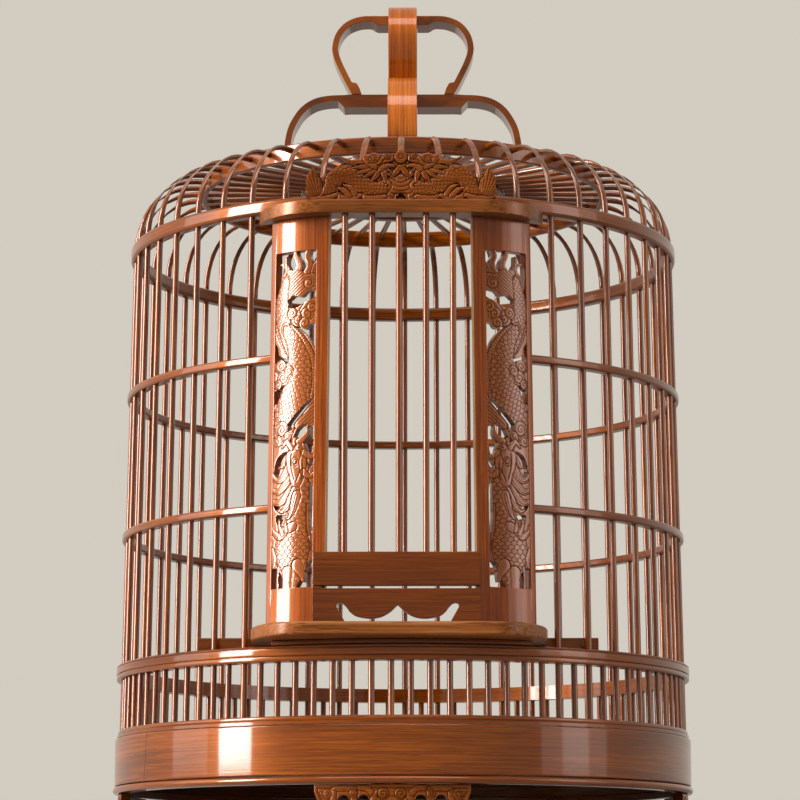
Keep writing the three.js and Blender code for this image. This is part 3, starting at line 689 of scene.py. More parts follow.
# %% Base bead, rim and ledge
# how deep each ring is, from its outer face inwards
DEPTHS = {
    "base_bead": 9.5 * MM, "base_band": 1.8 * MM, "base_rim": 8.7 * MM, "tray_ledge": 11.5 * MM,
    "lower_ring": 9.2 * MM, "mid_hoop_lower": 7.4 * MM, "mid_hoop_upper": 7.4 * MM,
    "shoulder_ring": 7.8 * MM, "dome_hoop": 3.6 * MM, "crown_ring": 7 * MM, "droppings_tray": 1.8 * MM,
    "floor_grate": 8 * MM,
}
# how far scraping rounds the corners: of linings and ledges, the wide strip, the bent hoops, the
# shoulder ring, and the dome's hoop and the floor's ring
STRIP_EDGE = 0.4 * MM
BAND_EDGE = 0.9 * MM
HOOP_EDGE = 1.2 * MM
SHOULDER_EDGE = 2.0 * MM
THIN_EDGE = 0.8 * MM
# the bead's nose reaches out by this share of half its height
NOSE = 0.9
NOSE_STEPS = 8
# the rim's moulding in millimetres: in from its outer face, and up from its foot or down from its top
RIM_FOOT = [(0, 0), (0, 1.6), (0.3, 1.9), (0.9, 2.1), (0.6, 2.5)]
RIM_TOP = [(0.6, 0.8), (1.0, 0.25), (1.56, 0)]


def ring_sizes(node):
    """The inner and outer radius and the levels of a ring."""
    outer = reach(node)
    return outer - DEPTHS[node], outer, *levels(node)


def half_round(inner, outer, foot, top):
    """A strip with a round nose on the outside."""
    half = (top - foot) / 2
    depth = half * NOSE
    turns = [math.radians(-90 + 180 * i / NOSE_STEPS) for i in range(NOSE_STEPS + 1)]
    arc = [(outer - depth + depth * math.cos(a), foot + half + half * math.sin(a)) for a in turns]
    return [(inner, foot), *arc, (inner, top)]


def moulded_rim(inner, outer, foot, top):
    """The rim's section."""
    low = [(outer - deep * MM, foot + up * MM) for deep, up in RIM_FOOT]
    high = [(outer - deep * MM, top - down * MM) for deep, down in RIM_TOP]
    return [(inner, foot), *low, *high, (inner, top)]


bead = spun("base_bead_round", half_round(*ring_sizes("base_bead")))
finish(bead, STEAMED, around, ["base_bead"])

# %% [markdown]
# The two ends of the wide strip meet in a slanting scarf, glued and scraped level, which shows as a fine
# dark line. A line in the material would look painted, so a groove is cut with a thin slanted block.

# %% The wide strip and its scarf
SCARF_AT = math.radians(-58.3)
SCARF_SLANT = math.radians(6)
SCARF_WIDTH = 0.3 * MM
SCARF_DEPTH = 0.22 * MM
OVERRUN = 2 * MM
band = spun("base_band_strip", rounded(*ring_sizes("base_band"), BAND_EDGE))
band_front = AXIS.y - reach("base_band")
band_foot, band_top = levels("base_band")
scarf = block(
    "scarf", (-SCARF_WIDTH / 2, band_front - OVERRUN, band_foot - OVERRUN),
    (SCARF_WIDTH / 2, band_front + SCARF_DEPTH, band_top + OVERRUN), CUTTER_EDGE,
)
band_middle = Matrix.Translation((0, 0, (band_foot + band_top) / 2))
slanted = band_middle @ Matrix.Rotation(SCARF_SLANT, 4, "Y") @ band_middle.inverted()
scarf.data.transform(turned(SCARF_AT) @ slanted)
carve_away(band, scarf)
finish(band, STEAMED, around, ["base_band"])
rim = spun("base_rim_moulded", moulded_rim(*ring_sizes("base_rim")))
finish(rim, STEAMED, around, ["base_rim"])
ledge = spun("tray_ledge_strip", rounded(*ring_sizes("tray_ledge"), STRIP_EDGE), steps=PLAIN_STEPS)
finish(ledge, STEAMED_SHADED, around, ["tray_ledge"])

# %% [markdown]
# The lower ring is moulded: a low strip, a wide strip and a fine bead, with a groove between them. The
# grooves catch shadow, so they are real steps in the section. The short bars under it are drawn sticks,
# pegged into it and standing on the rim. A stick could be a curve with a bevel, but a circle extruded
# along its path gives clean faces at once, and its grain and its ends need no conversion.

# %% A stick along a path
# a turn by less than this, in radians, is none
STRAIGHT = 1e-5


def bar_circle(height):
    """The radius of the circle of bars: the wall leans in a little on its way up."""
    return CIRCLE_LOW + (CIRCLE_HIGH - CIRCLE_LOW) * (height - ring_top) / (shoulder_top - ring_top)


def stick(name, path, sides=12):
    """A round stick along a path of (radius, height) points, at the door's angle: a circle, extruded
    from point to point and turned to face along the path."""
    leave()
    bpy.ops.mesh.primitive_circle_add(
        vertices=sides, radius=BAR / 2, location=polar(0, *path[0]), fill_type="NGON"
    )
    piece = added(name)
    edit(piece)
    heading = math.pi / 2
    for here, there, after in zip(path, path[1:], [*path[2:], path[-1]]):
        step = polar(0, *there) - polar(0, *here)
        bpy.ops.mesh.extrude_region_move(TRANSFORM_OT_translate={"value": step})
        new_heading = math.atan2(after[1] - here[1], here[0] - after[0])
        tilt = new_heading - heading
        if abs(tilt) > STRAIGHT:
            bpy.ops.transform.rotate(
                value=tilt, orient_axis="X", orient_type="GLOBAL", center_override=polar(0, *there)
            )
        heading = new_heading
    face_outwards(piece)
    return piece


# %% Lower ring and its short bars
# the ring's face from its foot to its top: how far out it stands and how high, as shares of each
RING_RELIEF = 2.0 * MM
RING_FACE = [
    (0.7, 0.0), (0.9, 0.04), (0.96, 0.1), (0.96, 0.24), (0.88, 0.29), (0.5, 0.315), (0.5, 0.335),
    (0.92, 0.365), (1.0, 0.42), (1.0, 0.73), (0.93, 0.79), (0.6, 0.815), (0.6, 0.835), (0.86, 0.86),
    (0.9, 0.93), (0.6, 0.985), (0.4, 1.0),
]
# how far a short bar reaches into the ring and the rim, and how many stand under the door bay
PEG = 1 * MM
FRONT_SHORTS = 16


def ring_section(inner, outer, foot, top):
    """A moulded section: a lower strip, a groove, a wide strip, a fine groove and a bead."""
    face = [(outer - RING_RELIEF * (1 - out), foot + (top - foot) * up) for out, up in RING_FACE]
    return [(inner, foot), *face, (inner, top)]


inner, outer, _, _ = ring_sizes("lower_ring")
ring = spun("lower_ring_moulded", ring_section(inner, outer, ring_foot, ring_top))
peg_foot = levels("base_rim")[1] - PEG
short = stick("short_bar", [(bar_circle(peg_foot), peg_foot), (bar_circle(ring_top), ring_foot + PEG)])
front_short_pitch = 2 * BAY_HALF_ANGLE / (FRONT_SHORTS + 1)
short_angles = [BAY_HALF_ANGLE + (k + 0.5) * WALL_PITCH for k in range(WALL_BARS - 1)]
short_angles += [(k + 1) * front_short_pitch - BAY_HALF_ANGLE for k in range(FRONT_SHORTS)]
shorts = [copied(short, f"short_bar_{k}", turned(angle)) for k, angle in enumerate(short_angles)]
bpy.data.objects.remove(short)
skirt = joined(shorts, "skirt_bars")
finish(ring, STEAMED, around, ["lower_ring"])
finish(skirt, STEAMED_BARS, upright, [])

# %% [markdown]
# Two hoops hold the wall between the rings. They stop at the door's posts. The shoulder ring is whole,
# and the bars pass through it into the dome, where an upright hoop and the crown ring carry them. All
# are rounded sections spun round the axis, as the base's strips are.

# %% Hoops, shoulder ring, dome hoop and crown
HOOP_END = math.radians(25.9)
for node in ("mid_hoop_lower", "mid_hoop_upper"):
    section = rounded(*ring_sizes(node), HOOP_EDGE)
    hoop = spun(f"{node}_bent", section, HOOP_END, FULL_TURN - 2 * HOOP_END)
    finish(hoop, STEAMED, around, [node])
shoulder = spun("shoulder_ring_bent", rounded(*ring_sizes("shoulder_ring"), SHOULDER_EDGE, 4))
finish(shoulder, STEAMED, around, ["shoulder_ring"])
dome = spun("dome_hoop_bent", rounded(*ring_sizes("dome_hoop"), THIN_EDGE))
finish(dome, STEAMED, around, ["dome_hoop"])
crown = spun("crown_ring_bent", rounded(*ring_sizes("crown_ring"), HOOP_EDGE), steps=PLAIN_STEPS)
finish(crown, STEAMED_SHADED, around, ["crown_ring"])

# %% [markdown]
# A full bar runs from the base's lining up the wall, bends over the shoulder and ends on the crown. It
# is modelled once, and each copy is turned to its place. A circular array could set them out as well,
# but the door bay breaks the circle, and copies can be joined with their own strip of the lining.

# %% Full bars in their panels
# how far inwards a bar's bend over the shoulder runs, in how many steps, and how near it comes to the
# crown ring
DOME_RUN = 32.5 * MM
BEND_STEPS = 10
CROWN_GAP = 0.3 * MM
# the lining's two faces, measured inwards from the wide strip's outer face
LINING_OUTSIDE = 2.6 * MM
LINING_INSIDE = 8.5 * MM
# a panel's strip of lining reaches past its last bars by this share of the pitch
LINING_REACH = 0.48
LINING_STEPS = 24

dome_rise = spoke_level - shoulder_top
bend = [i / BEND_STEPS * math.pi / 2 for i in range(BEND_STEPS + 1)]
DOME_PATH = [
    *[(CIRCLE_HIGH - DOME_RUN * (1 - math.cos(a)), shoulder_top + dome_rise * math.sin(a)) for a in bend],
    (reach("crown_ring") + CROWN_GAP, spoke_level),
]
band_reach = reach("base_band")
lining_foot, lining_top = levels("front_lining")
lining = (band_reach - LINING_INSIDE, band_reach - LINING_OUTSIDE, lining_foot, lining_top)
bar_foot = (lining_foot + lining_top) / 2
full = stick("full_bar", [(bar_circle(bar_foot), bar_foot), *DOME_PATH])
first_of = [round(panel * WALL_BARS / len(WALL_PANELS)) for panel in range(len(WALL_PANELS) + 1)]
for panel, node in enumerate(WALL_PANELS):
    numbers = range(first_of[panel], first_of[panel + 1])
    bars = [copied(full, f"bar_{k}", turned(BAY_HALF_ANGLE + k * WALL_PITCH)) for k in numbers]
    start = BAY_HALF_ANGLE + (numbers[0] - LINING_REACH) * WALL_PITCH
    turn = (len(numbers) - 1 + 2 * LINING_REACH) * WALL_PITCH
    strip = spun(f"lining_{panel}", rounded(*lining, STRIP_EDGE), start, turn, LINING_STEPS)
    whole = joined([strip, *bars], f"panel_{panel + 1}_of_bars")
    finish(whole, STEAMED_BARS, upright, [node])
bpy.data.objects.remove(full)

# %% [markdown]
# Over the door the dome's bars can't reach down to the base, so seven shorter ones stand in a seat, a
# low strip that lies on the lintel. The lining also closes under the door. Both are short arcs, spun
# like the hoops.

# %% Front bars of the dome, and the front lining
FRONT_BARS = 7
FRONT_PITCH = (2 * BAY_HALF_ANGLE - WALL_PITCH) / FRONT_BARS
SEAT_TALL = 3.6 * MM
SEAT_DEPTH = 6.5 * MM
SEAT_HALF_ANGLE = math.radians(26.5)
SEAT_STEPS = 40
ARC_STEPS = 60
seat_foot = levels("front_dome_bars")[0]
seat_outer = CIRCLE_HIGH + SEAT_DEPTH / 2
seat_section = rounded(seat_outer - SEAT_DEPTH, seat_outer, seat_foot, seat_foot + SEAT_TALL, STRIP_EDGE)
front = stick("front_bar", [(CIRCLE_HIGH, seat_foot + SEAT_TALL / 2), *DOME_PATH])
seat = spun("front_seat", seat_section, -SEAT_HALF_ANGLE, 2 * SEAT_HALF_ANGLE, SEAT_STEPS)
middle_bar = (FRONT_BARS - 1) / 2
fronts = [
    copied(front, f"front_bar_{k}", turned((k - middle_bar) * FRONT_PITCH)) for k in range(FRONT_BARS)
]
bpy.data.objects.remove(front)
front_dome = joined([seat, *fronts], "front_bars_of_the_dome")
finish(front_dome, STEAMED_BARS, upright, ["front_dome_bars"])
lining_end = BAY_HALF_ANGLE - (1 - LINING_REACH) * WALL_PITCH
lining_section = rounded(*lining, STRIP_EDGE)
front_lining = spun("front_lining_strip", lining_section, -lining_end, 2 * lining_end, ARC_STEPS)
finish(front_lining, STEAMED_SHADED, around, ["front_lining"])

# %% [markdown]
# The door bay stands proud of the wall. Its sill is a thick board with rounded corners, sawn across a
# wide bamboo culm. A block with bevelled corners would give round ones, but these are longer than they
# are wide. So the board is drawn as an outline seen from above, extruded and sanded at its edges.

# %% The sill board
SILL_CORNER_WIDE = 30 * MM
SILL_CORNER_LONG = 48 * MM
SILL_STEPS = 16
SILL_EDGE = 1.2 * MM


def extruded(name, points, step):
    """A flat outline, extruded by one step to a closed board."""
    piece = outline(name, points)
    thicken(piece, step)
    return piece


def mirrored(half):
    """The right half of an outline followed by its left half, seen from above."""
    return [*half, *[(-x, y) for x, y in reversed(half)]]


sill_low, sill_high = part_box("sill_board")
sill_half = (sill_high[0] - sill_low[0]) / 2
sill_middle = (sill_high[0] + sill_low[0]) / 2
sill_side = []
for i in range(SILL_STEPS + 1):
    turn = math.pi / 2 * i / SILL_STEPS
    across = sill_half - SILL_CORNER_WIDE * (1 - math.sin(turn))
    sill_side.append((across, sill_low[1] + SILL_CORNER_LONG * (1 - math.cos(turn))))
sill_outline = mirrored([*sill_side, (sill_half, sill_high[1])])
sill_points = [(sill_middle + x, y, sill_low[2]) for x, y in sill_outline]
sill = extruded("sill_board_rounded", sill_points, (0, 0, sill_high[2] - sill_low[2]))
soften(sill, SILL_EDGE, segments=3)
finish(sill, BOARD, along_x, ["sill_board"])

# %% [markdown]
# The lintel is a thinner board that wraps the shoulder ring: its front is flat, its corners are round,
# and its back is an arc that hugs the ring. The corner's arc ends where it meets the back's circle. Five
# holes let the door's bars slide through.

# %% The lintel board and its holes
# half of the straight front, the radius of the corners, the gap to the shoulder ring and the sanding
LINTEL_FLAT = 41 * MM
LINTEL_CORNER = 38 * MM
LINTEL_GAP = 0.3 * MM
LINTEL_EDGE = 0.7 * MM
CORNER_STEPS = 24
BACK_STEPS = 20
HOLE_PLAY = 0.35 * MM
HOLE_LENGTH = 20 * MM
lintel_low, lintel_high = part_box("lintel_board")
lintel_back = reach("shoulder_ring") + LINTEL_GAP
corner = Vector((LINTEL_FLAT, lintel_low[1] + LINTEL_CORNER - AXIS.y))
bearing = math.atan2(corner.x, -corner.y)
cosine = (lintel_back**2 - corner.length_squared - LINTEL_CORNER**2) / (2 * corner.length * LINTEL_CORNER)
corner_turn = bearing + math.acos(cosine)
lintel_side = []
for i in range(CORNER_STEPS + 1):
    turn = corner_turn * i / CORNER_STEPS
    back = AXIS.y + corner.y - LINTEL_CORNER * math.cos(turn)
    lintel_side.append((LINTEL_FLAT + LINTEL_CORNER * math.sin(turn), back))
back_turn = math.atan2(lintel_side[-1][0], AXIS.y - lintel_side[-1][1])
for i in range(1, BACK_STEPS):
    place = polar(back_turn * (1 - i / BACK_STEPS), lintel_back, 0)
    lintel_side.append((place.x, place.y))
lintel_points = [(x, y, lintel_low[2]) for x, y in mirrored(lintel_side)]
lintel = extruded("lintel_board_rounded", lintel_points, (0, 0, lintel_high[2] - lintel_low[2]))
soften(lintel, LINTEL_EDGE, angle=50)
door_bar_places = []
for node in DOOR_BARS:
    low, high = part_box(node)
    door_bar_places.append(((low[0] + high[0]) / 2, (low[1] + high[1]) / 2))
holes = [
    cylinder(f"hole_{k}", BAR / 2 + HOLE_PLAY, HOLE_LENGTH, (x, y, lintel_low[2]))
    for k, (x, y) in enumerate(door_bar_places)
]
carve_away(lintel, joined(holes, "holes"))
finish(lintel, LINTEL, along_x, ["lintel_board"])

# %% [markdown]
# The sill rests on a bent bearer, and a straight beam behind it runs across the base with a turned peg
# near each end. The pegs are cylinders with their rims sanded round.

# %% Bearer, beam and pegs
BEARER_DEPTH = 6 * MM
BEARER_HALF_ANGLE = math.radians(25)
BEAM_EDGE = 0.6 * MM
PEG_EDGE = 0.7 * MM
bearer_outer = AXIS.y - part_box("sill_bearer")[0][1]
bearer = spun(
    "sill_bearer_strip",
    rounded(bearer_outer - BEARER_DEPTH, bearer_outer, *levels("sill_bearer"), STRIP_EDGE),
    -BEARER_HALF_ANGLE, 2 * BEARER_HALF_ANGLE, ARC_STEPS,
)
finish(bearer, STEAMED_SHADED, around, ["sill_bearer"])
beam = block("sill_beam_planed", *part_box("sill_beam"), BEAM_EDGE)
finish(beam, PLANED, along_x, ["sill_beam"])
for side in ("left", "right"):
    low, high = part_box(f"beam_peg_{side}")
    middle = (Vector(low) + Vector(high)) / 2
    peg = cylinder(f"peg_{side}_turned", (high[0] - low[0]) / 2, high[1] - low[1], middle, lying=True)
    soften(peg, PEG_EDGE)
    finish(peg, STEAMED_SHADED, along_z, [f"beam_peg_{side}"])

# %% [markdown]
# The door is a rail with five bars that run up through the lintel, and it is lifted by the rail. These
# six pieces ride on the door's body, so that they slide together. The rail is a planed block, and a bar
# is the same stick as in the wall, straight and with its ends sanded.

# %% The door
RAIL_EDGE = 0.9 * MM
rail = block("door_rail_planed", *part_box("door_rail"), RAIL_EDGE)
finish(rail, PLANED, along_x, ["door_rail"], body="door")
for node, (x, y) in zip(DOOR_BARS, door_bar_places):
    low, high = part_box(node)
    bar = stick(f"{node}_drawn", [(AXIS.y - y, low[2]), (AXIS.y - y, high[2])], sides=14)
    bar.data.transform(Matrix.Translation((x, 0, 0)))
    soften(bar, STRIP_EDGE)
    finish(bar, STEAMED_BARS, along_z, [node], body="door")

# %% [markdown]
# Under the rail a fixed slat stands on the sill. Its lower edge is cut out in a swag, and a low stop on
# its left end keeps the rail off it. The slat is drawn as an outline seen from the front, in which the
# swag is a smooth curve through a few points, and then extruded backwards.

# %% The slat with its swag
# half of the swag in millimetres: out from its middle, and up from the slat's lower edge
SWAG_END = (28, 0)
SWAG = [
    (32.6, 8.2), (32.3, 9.8), (30.8, 10.4), (29, 9.7), (27, 7.6), (25.5, 5.6), (22, 3.3), (15, 2.1),
    (9, 2.9), (4, 5.6), (0, 9.3),
]
SWAG_STEPS = 4
SWAG_SHIFT = -0.6 * MM
STOP_WIDE = 4.5 * MM
STOP_TALL = 1.1 * MM
slat_low, slat_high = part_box("sill_slat")
slat_top = slat_high[2] - STOP_TALL
stop_end = slat_low[0] + STOP_WIDE
swag_middle = sum(x for x, _ in door_bar_places) / len(door_bar_places) + SWAG_SHIFT
half_swag = [(x * MM, slat_low[2] + z * MM) for x, z in [SWAG_END, *smooth_curve(SWAG, SWAG_STEPS)]]
swag = [(swag_middle - x, z) for x, z in half_swag] + [(swag_middle + x, z) for x, z in half_swag[-2::-1]]
slat_points = [
    (slat_low[0], slat_low[2]), *swag, (slat_high[0], slat_low[2]), (slat_high[0], slat_top),
    (stop_end, slat_top), (stop_end, slat_high[2]), (slat_low[0], slat_high[2]),
]
slat_face = [(x, slat_high[1], z) for x, z in slat_points]
slat = extruded("sill_slat_planed", slat_face, (0, slat_low[1] - slat_high[1], 0))
soften(slat, STRIP_EDGE, angle=50)
finish(slat, PLANED, along_x, ["sill_slat"])

# %% [markdown]
# The handle is made of bent strips, each about 17 mm wide: two low bows that cross over the crown, and
# two round loops on top of them. Where two strips cross, each is cut halfway through. A strip could be
# a curve with a flat bevel, but its thickness changes where the strips meet. So its side is drawn as
# an outline, with the inner edge set off from the outer one, and extruded to the strip's width.

# %% Handle of crossed bent strips
STRIP_WIDTH = 17 * MM
STRIP = 3.7 * MM
STRIP_CORNER = 0.5 * MM
TAPER = 3 * MM
CROSSING_PLAY = 0.2 * MM
CROSSING_OVERRUN = 5 * MM
# the thickness at the middle of the bows and of the loops, how far it reaches, and the loops' feet
BOW_MIDDLE = 7.9 * MM
BOW_MIDDLE_HALF = 36 * MM
LOOP_MIDDLE = 6 * MM
LOOP_MIDDLE_HALF = 16 * MM
LOOP_FOOT = 6 * MM
# the right half of each shape, as shares of its half width and of its height
BOW_SHAPE = [
    (0.84, 0), (0.95, 0.06), (0.995, 0.18), (1, 0.33), (0.975, 0.55), (0.93, 0.7), (0.86, 0.84),
    (0.76, 0.94), (0.64, 0.985), (0.5, 0.995), (0.45, 1), (0.22, 1), (0, 1),
]
LOOP_SHAPE = [
    (0.72, 0), (0.82, 0.16), (0.94, 0.38), (0.99, 0.51), (1, 0.6), (0.97, 0.73), (0.9, 0.84),
    (0.79, 0.93), (0.64, 0.985), (0.5, 1), (0.32, 1), (0.16, 1), (0, 1),
]
# the feet reach up to this share of the height, and the grain bends round a middle at these shares of
# the height and of the half width
FOOT_SHARE = 1 / 9
GRAIN_CENTRE = 0.3
GRAIN_REACH = 0.8


def inner_edge(outer, foot_level, foot_thickness, middle_half, middle_thickness):
    """The inner side of a strip: the outer one, moved in by the strip's thickness at each point."""
    inner = []
    for i, point in enumerate(outer):
        along = outer[min(i + 1, len(outer) - 1)] - outer[max(i - 1, 0)]
        along /= np.linalg.norm(along)
        share = min(1, max(0, 1 - max(0, abs(point[0]) - middle_half) / TAPER))
        thickness = STRIP + (middle_thickness - STRIP) * share
        if point[1] < foot_level:
            thickness = max(thickness, foot_thickness)
        moved = point + np.array((-along[1], along[0])) * thickness
        if i in (0, len(outer) - 1):
            moved = np.array((point[0] - math.copysign(thickness, point[0]), point[1]))
        inner.append(moved)
    return inner


def crossed_strips(shape, nodes, foot_thickness, middle_half, middle_thickness):
    """Two strips of one shape, crossed at right angles and halved where they meet."""
    low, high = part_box(nodes[0])
    half_width, height = (high[0] - low[0]) / 2, high[2] - low[2]
    # the curve may swing a hair past its highest point, and the strip must not
    right = [np.array((x * half_width, low[2] + min(z, 1) * height)) for x, z in smooth_curve(shape)]
    outer = [*right, *[np.array((-x, z)) for x, z in reversed(right[:-1])]]
    foot_level = low[2] + height * FOOT_SHARE
    inner = inner_edge(outer, foot_level, foot_thickness, middle_half, middle_thickness)
    points = [(x, -STRIP_WIDTH / 2, z) for x, z in [*outer, *reversed(inner)]]
    strip = extruded(f"{nodes[0]}_bent", points, (0, STRIP_WIDTH, 0))
    strip.data.transform(Matrix.Translation(AXIS))
    soften(strip, STRIP_CORNER, angle=60)
    other = copied(strip, f"{nodes[1]}_bent", turned(math.pi / 2))
    middle = high[2] - middle_thickness / 2
    side = STRIP_WIDTH / 2 + CROSSING_PLAY
    # the second strip shows its broad face to the front and takes the paler finish, which is painted light
    cuts = [
        (strip, high[2] - middle_thickness - CROSSING_OVERRUN, middle, STEAMED),
        (other, middle, high[2] + CROSSING_OVERRUN, STEAMED_PAINTED_LIT),
    ]
    for axis, (piece, foot, top, strip_finish) in enumerate(cuts):
        halving = block("halving", (-side, AXIS.y - side, foot), (side, AXIS.y + side, top), CUTTER_EDGE)
        carve_away(piece, halving)
        rule = bent_strip(axis, low[2] + height * GRAIN_CENTRE, half_width * GRAIN_REACH)
        finish(piece, strip_finish, rule, [nodes[axis]])


crossed_strips(BOW_SHAPE, ("handle_bow_x", "handle_bow_y"), STRIP, BOW_MIDDLE_HALF, BOW_MIDDLE)
crossed_strips(LOOP_SHAPE, ("handle_loop_x", "handle_loop_y"), LOOP_FOOT, LOOP_MIDDLE_HALF, LOOP_MIDDLE)

# %% [markdown]
# The carvings are fretwork: a thin board is pierced with a fret saw, and what is left is rounded and
# lined with small gouges. Sculpting by hand can't be repeated by a script, and a bump map has no real
# edge. So each carving is drawn as a relief first, motif over motif, on a grid as fine as the real tool
# marks. Each motif gives how deep a point lies inside it, its level and its cuts.

# %% The gouge's marks
# places and widths on a carving are in millimetres. Levels and depths are in units of relief, and each
# board says what one is worth. Here: how far a motif's edge is rounded, how wide and deep the cut all
# round it is, how deep its other cuts are, how wide and deep a drawn line is, how wide a spiral's cut is
# and how far that keeps from its rim
ROUND_OVER = 0.9
SURROUND_WIDTH = 0.6
SURROUND_DEPTH = 0.8
CUT_DEPTH = 0.45
LINE_WIDTH = 0.32
LINE_DEPTH = 0.6
SPIRAL_WIDTH = 0.3
SPIRAL_RIM = 0.35
# how many of its widths off its line a cut has run out: round a motif, on a boss, in a spiral and
# along a drawn line
CUT_REACH = 1.3
RING_REACH = 1.5
SPIRAL_REACH = 1.6
LINE_REACH = 1.7
# how much of a rib's cut slopes, and the part of a turn that is left free at a spiral's rim
RIB_FLANK = 0.2
SPIRAL_END = 0.35
# the pitch of the rows of scales and a scale's radius, as shares of its size, then how far it rises at
# its lip, and where the cut under the lip starts and how wide it is, as shares of the radius
SCALE_PITCH = 0.55
SCALE_RADIUS = 0.58
SCALE_RISE = 0.2
SCALE_LIP, SCALE_LIP_WIDTH = 0.74, 0.12
# how far outside a point lies while no wood is drawn, a distance beyond all others, a length that is
# next to nothing, and a vein that keeps so far from the edge that it is cut nowhere
OUTSIDE = -9.0
FAR = 1e9
TINY = 1e-12
NO_VEIN = (0, 1, FAR)


def groove(off, width, far=CUT_REACH):
    """How much of its depth a cut has at a distance off its line: so many widths far it has run out."""
    return np.clip(far - np.abs(off) / width, 0, 1)


def ribs(coordinate, pitch, share=0.36):
    """Parallel cuts, which take up a share of their pitch."""
    phase = np.abs(np.mod(coordinate / pitch, 1) - 0.5) * 2
    return np.clip((phase - (1 - share)) / RIB_FLANK, 0, 1)


def scales(along, off, size):
    """Overlapping scales: how far each rises towards its free edge, and the cut under that edge."""
    pitch = SCALE_PITCH * size
    row = np.floor(along / pitch)
    rise, cut = np.zeros(along.shape), np.zeros(along.shape)
    done = np.zeros(along.shape, dtype=bool)
    for ahead in (2, 1, 0, -1):
        here = row + ahead
        shift = np.where(np.mod(here, 2) == 0, 0.0, 0.5)
        column = np.round(off / size - shift) + shift
        distance = np.hypot((along - here * pitch), (off - column * size)) / (size * SCALE_RADIUS)
        mine = (distance < 1) & ~done
        rise = np.where(mine, SCALE_RISE * distance, rise)
        cut = np.where(mine, np.clip((distance - SCALE_LIP) / SCALE_LIP_WIDTH, 0, 1), cut)
        done |= mine
    return rise, cut


# %% A board to carve


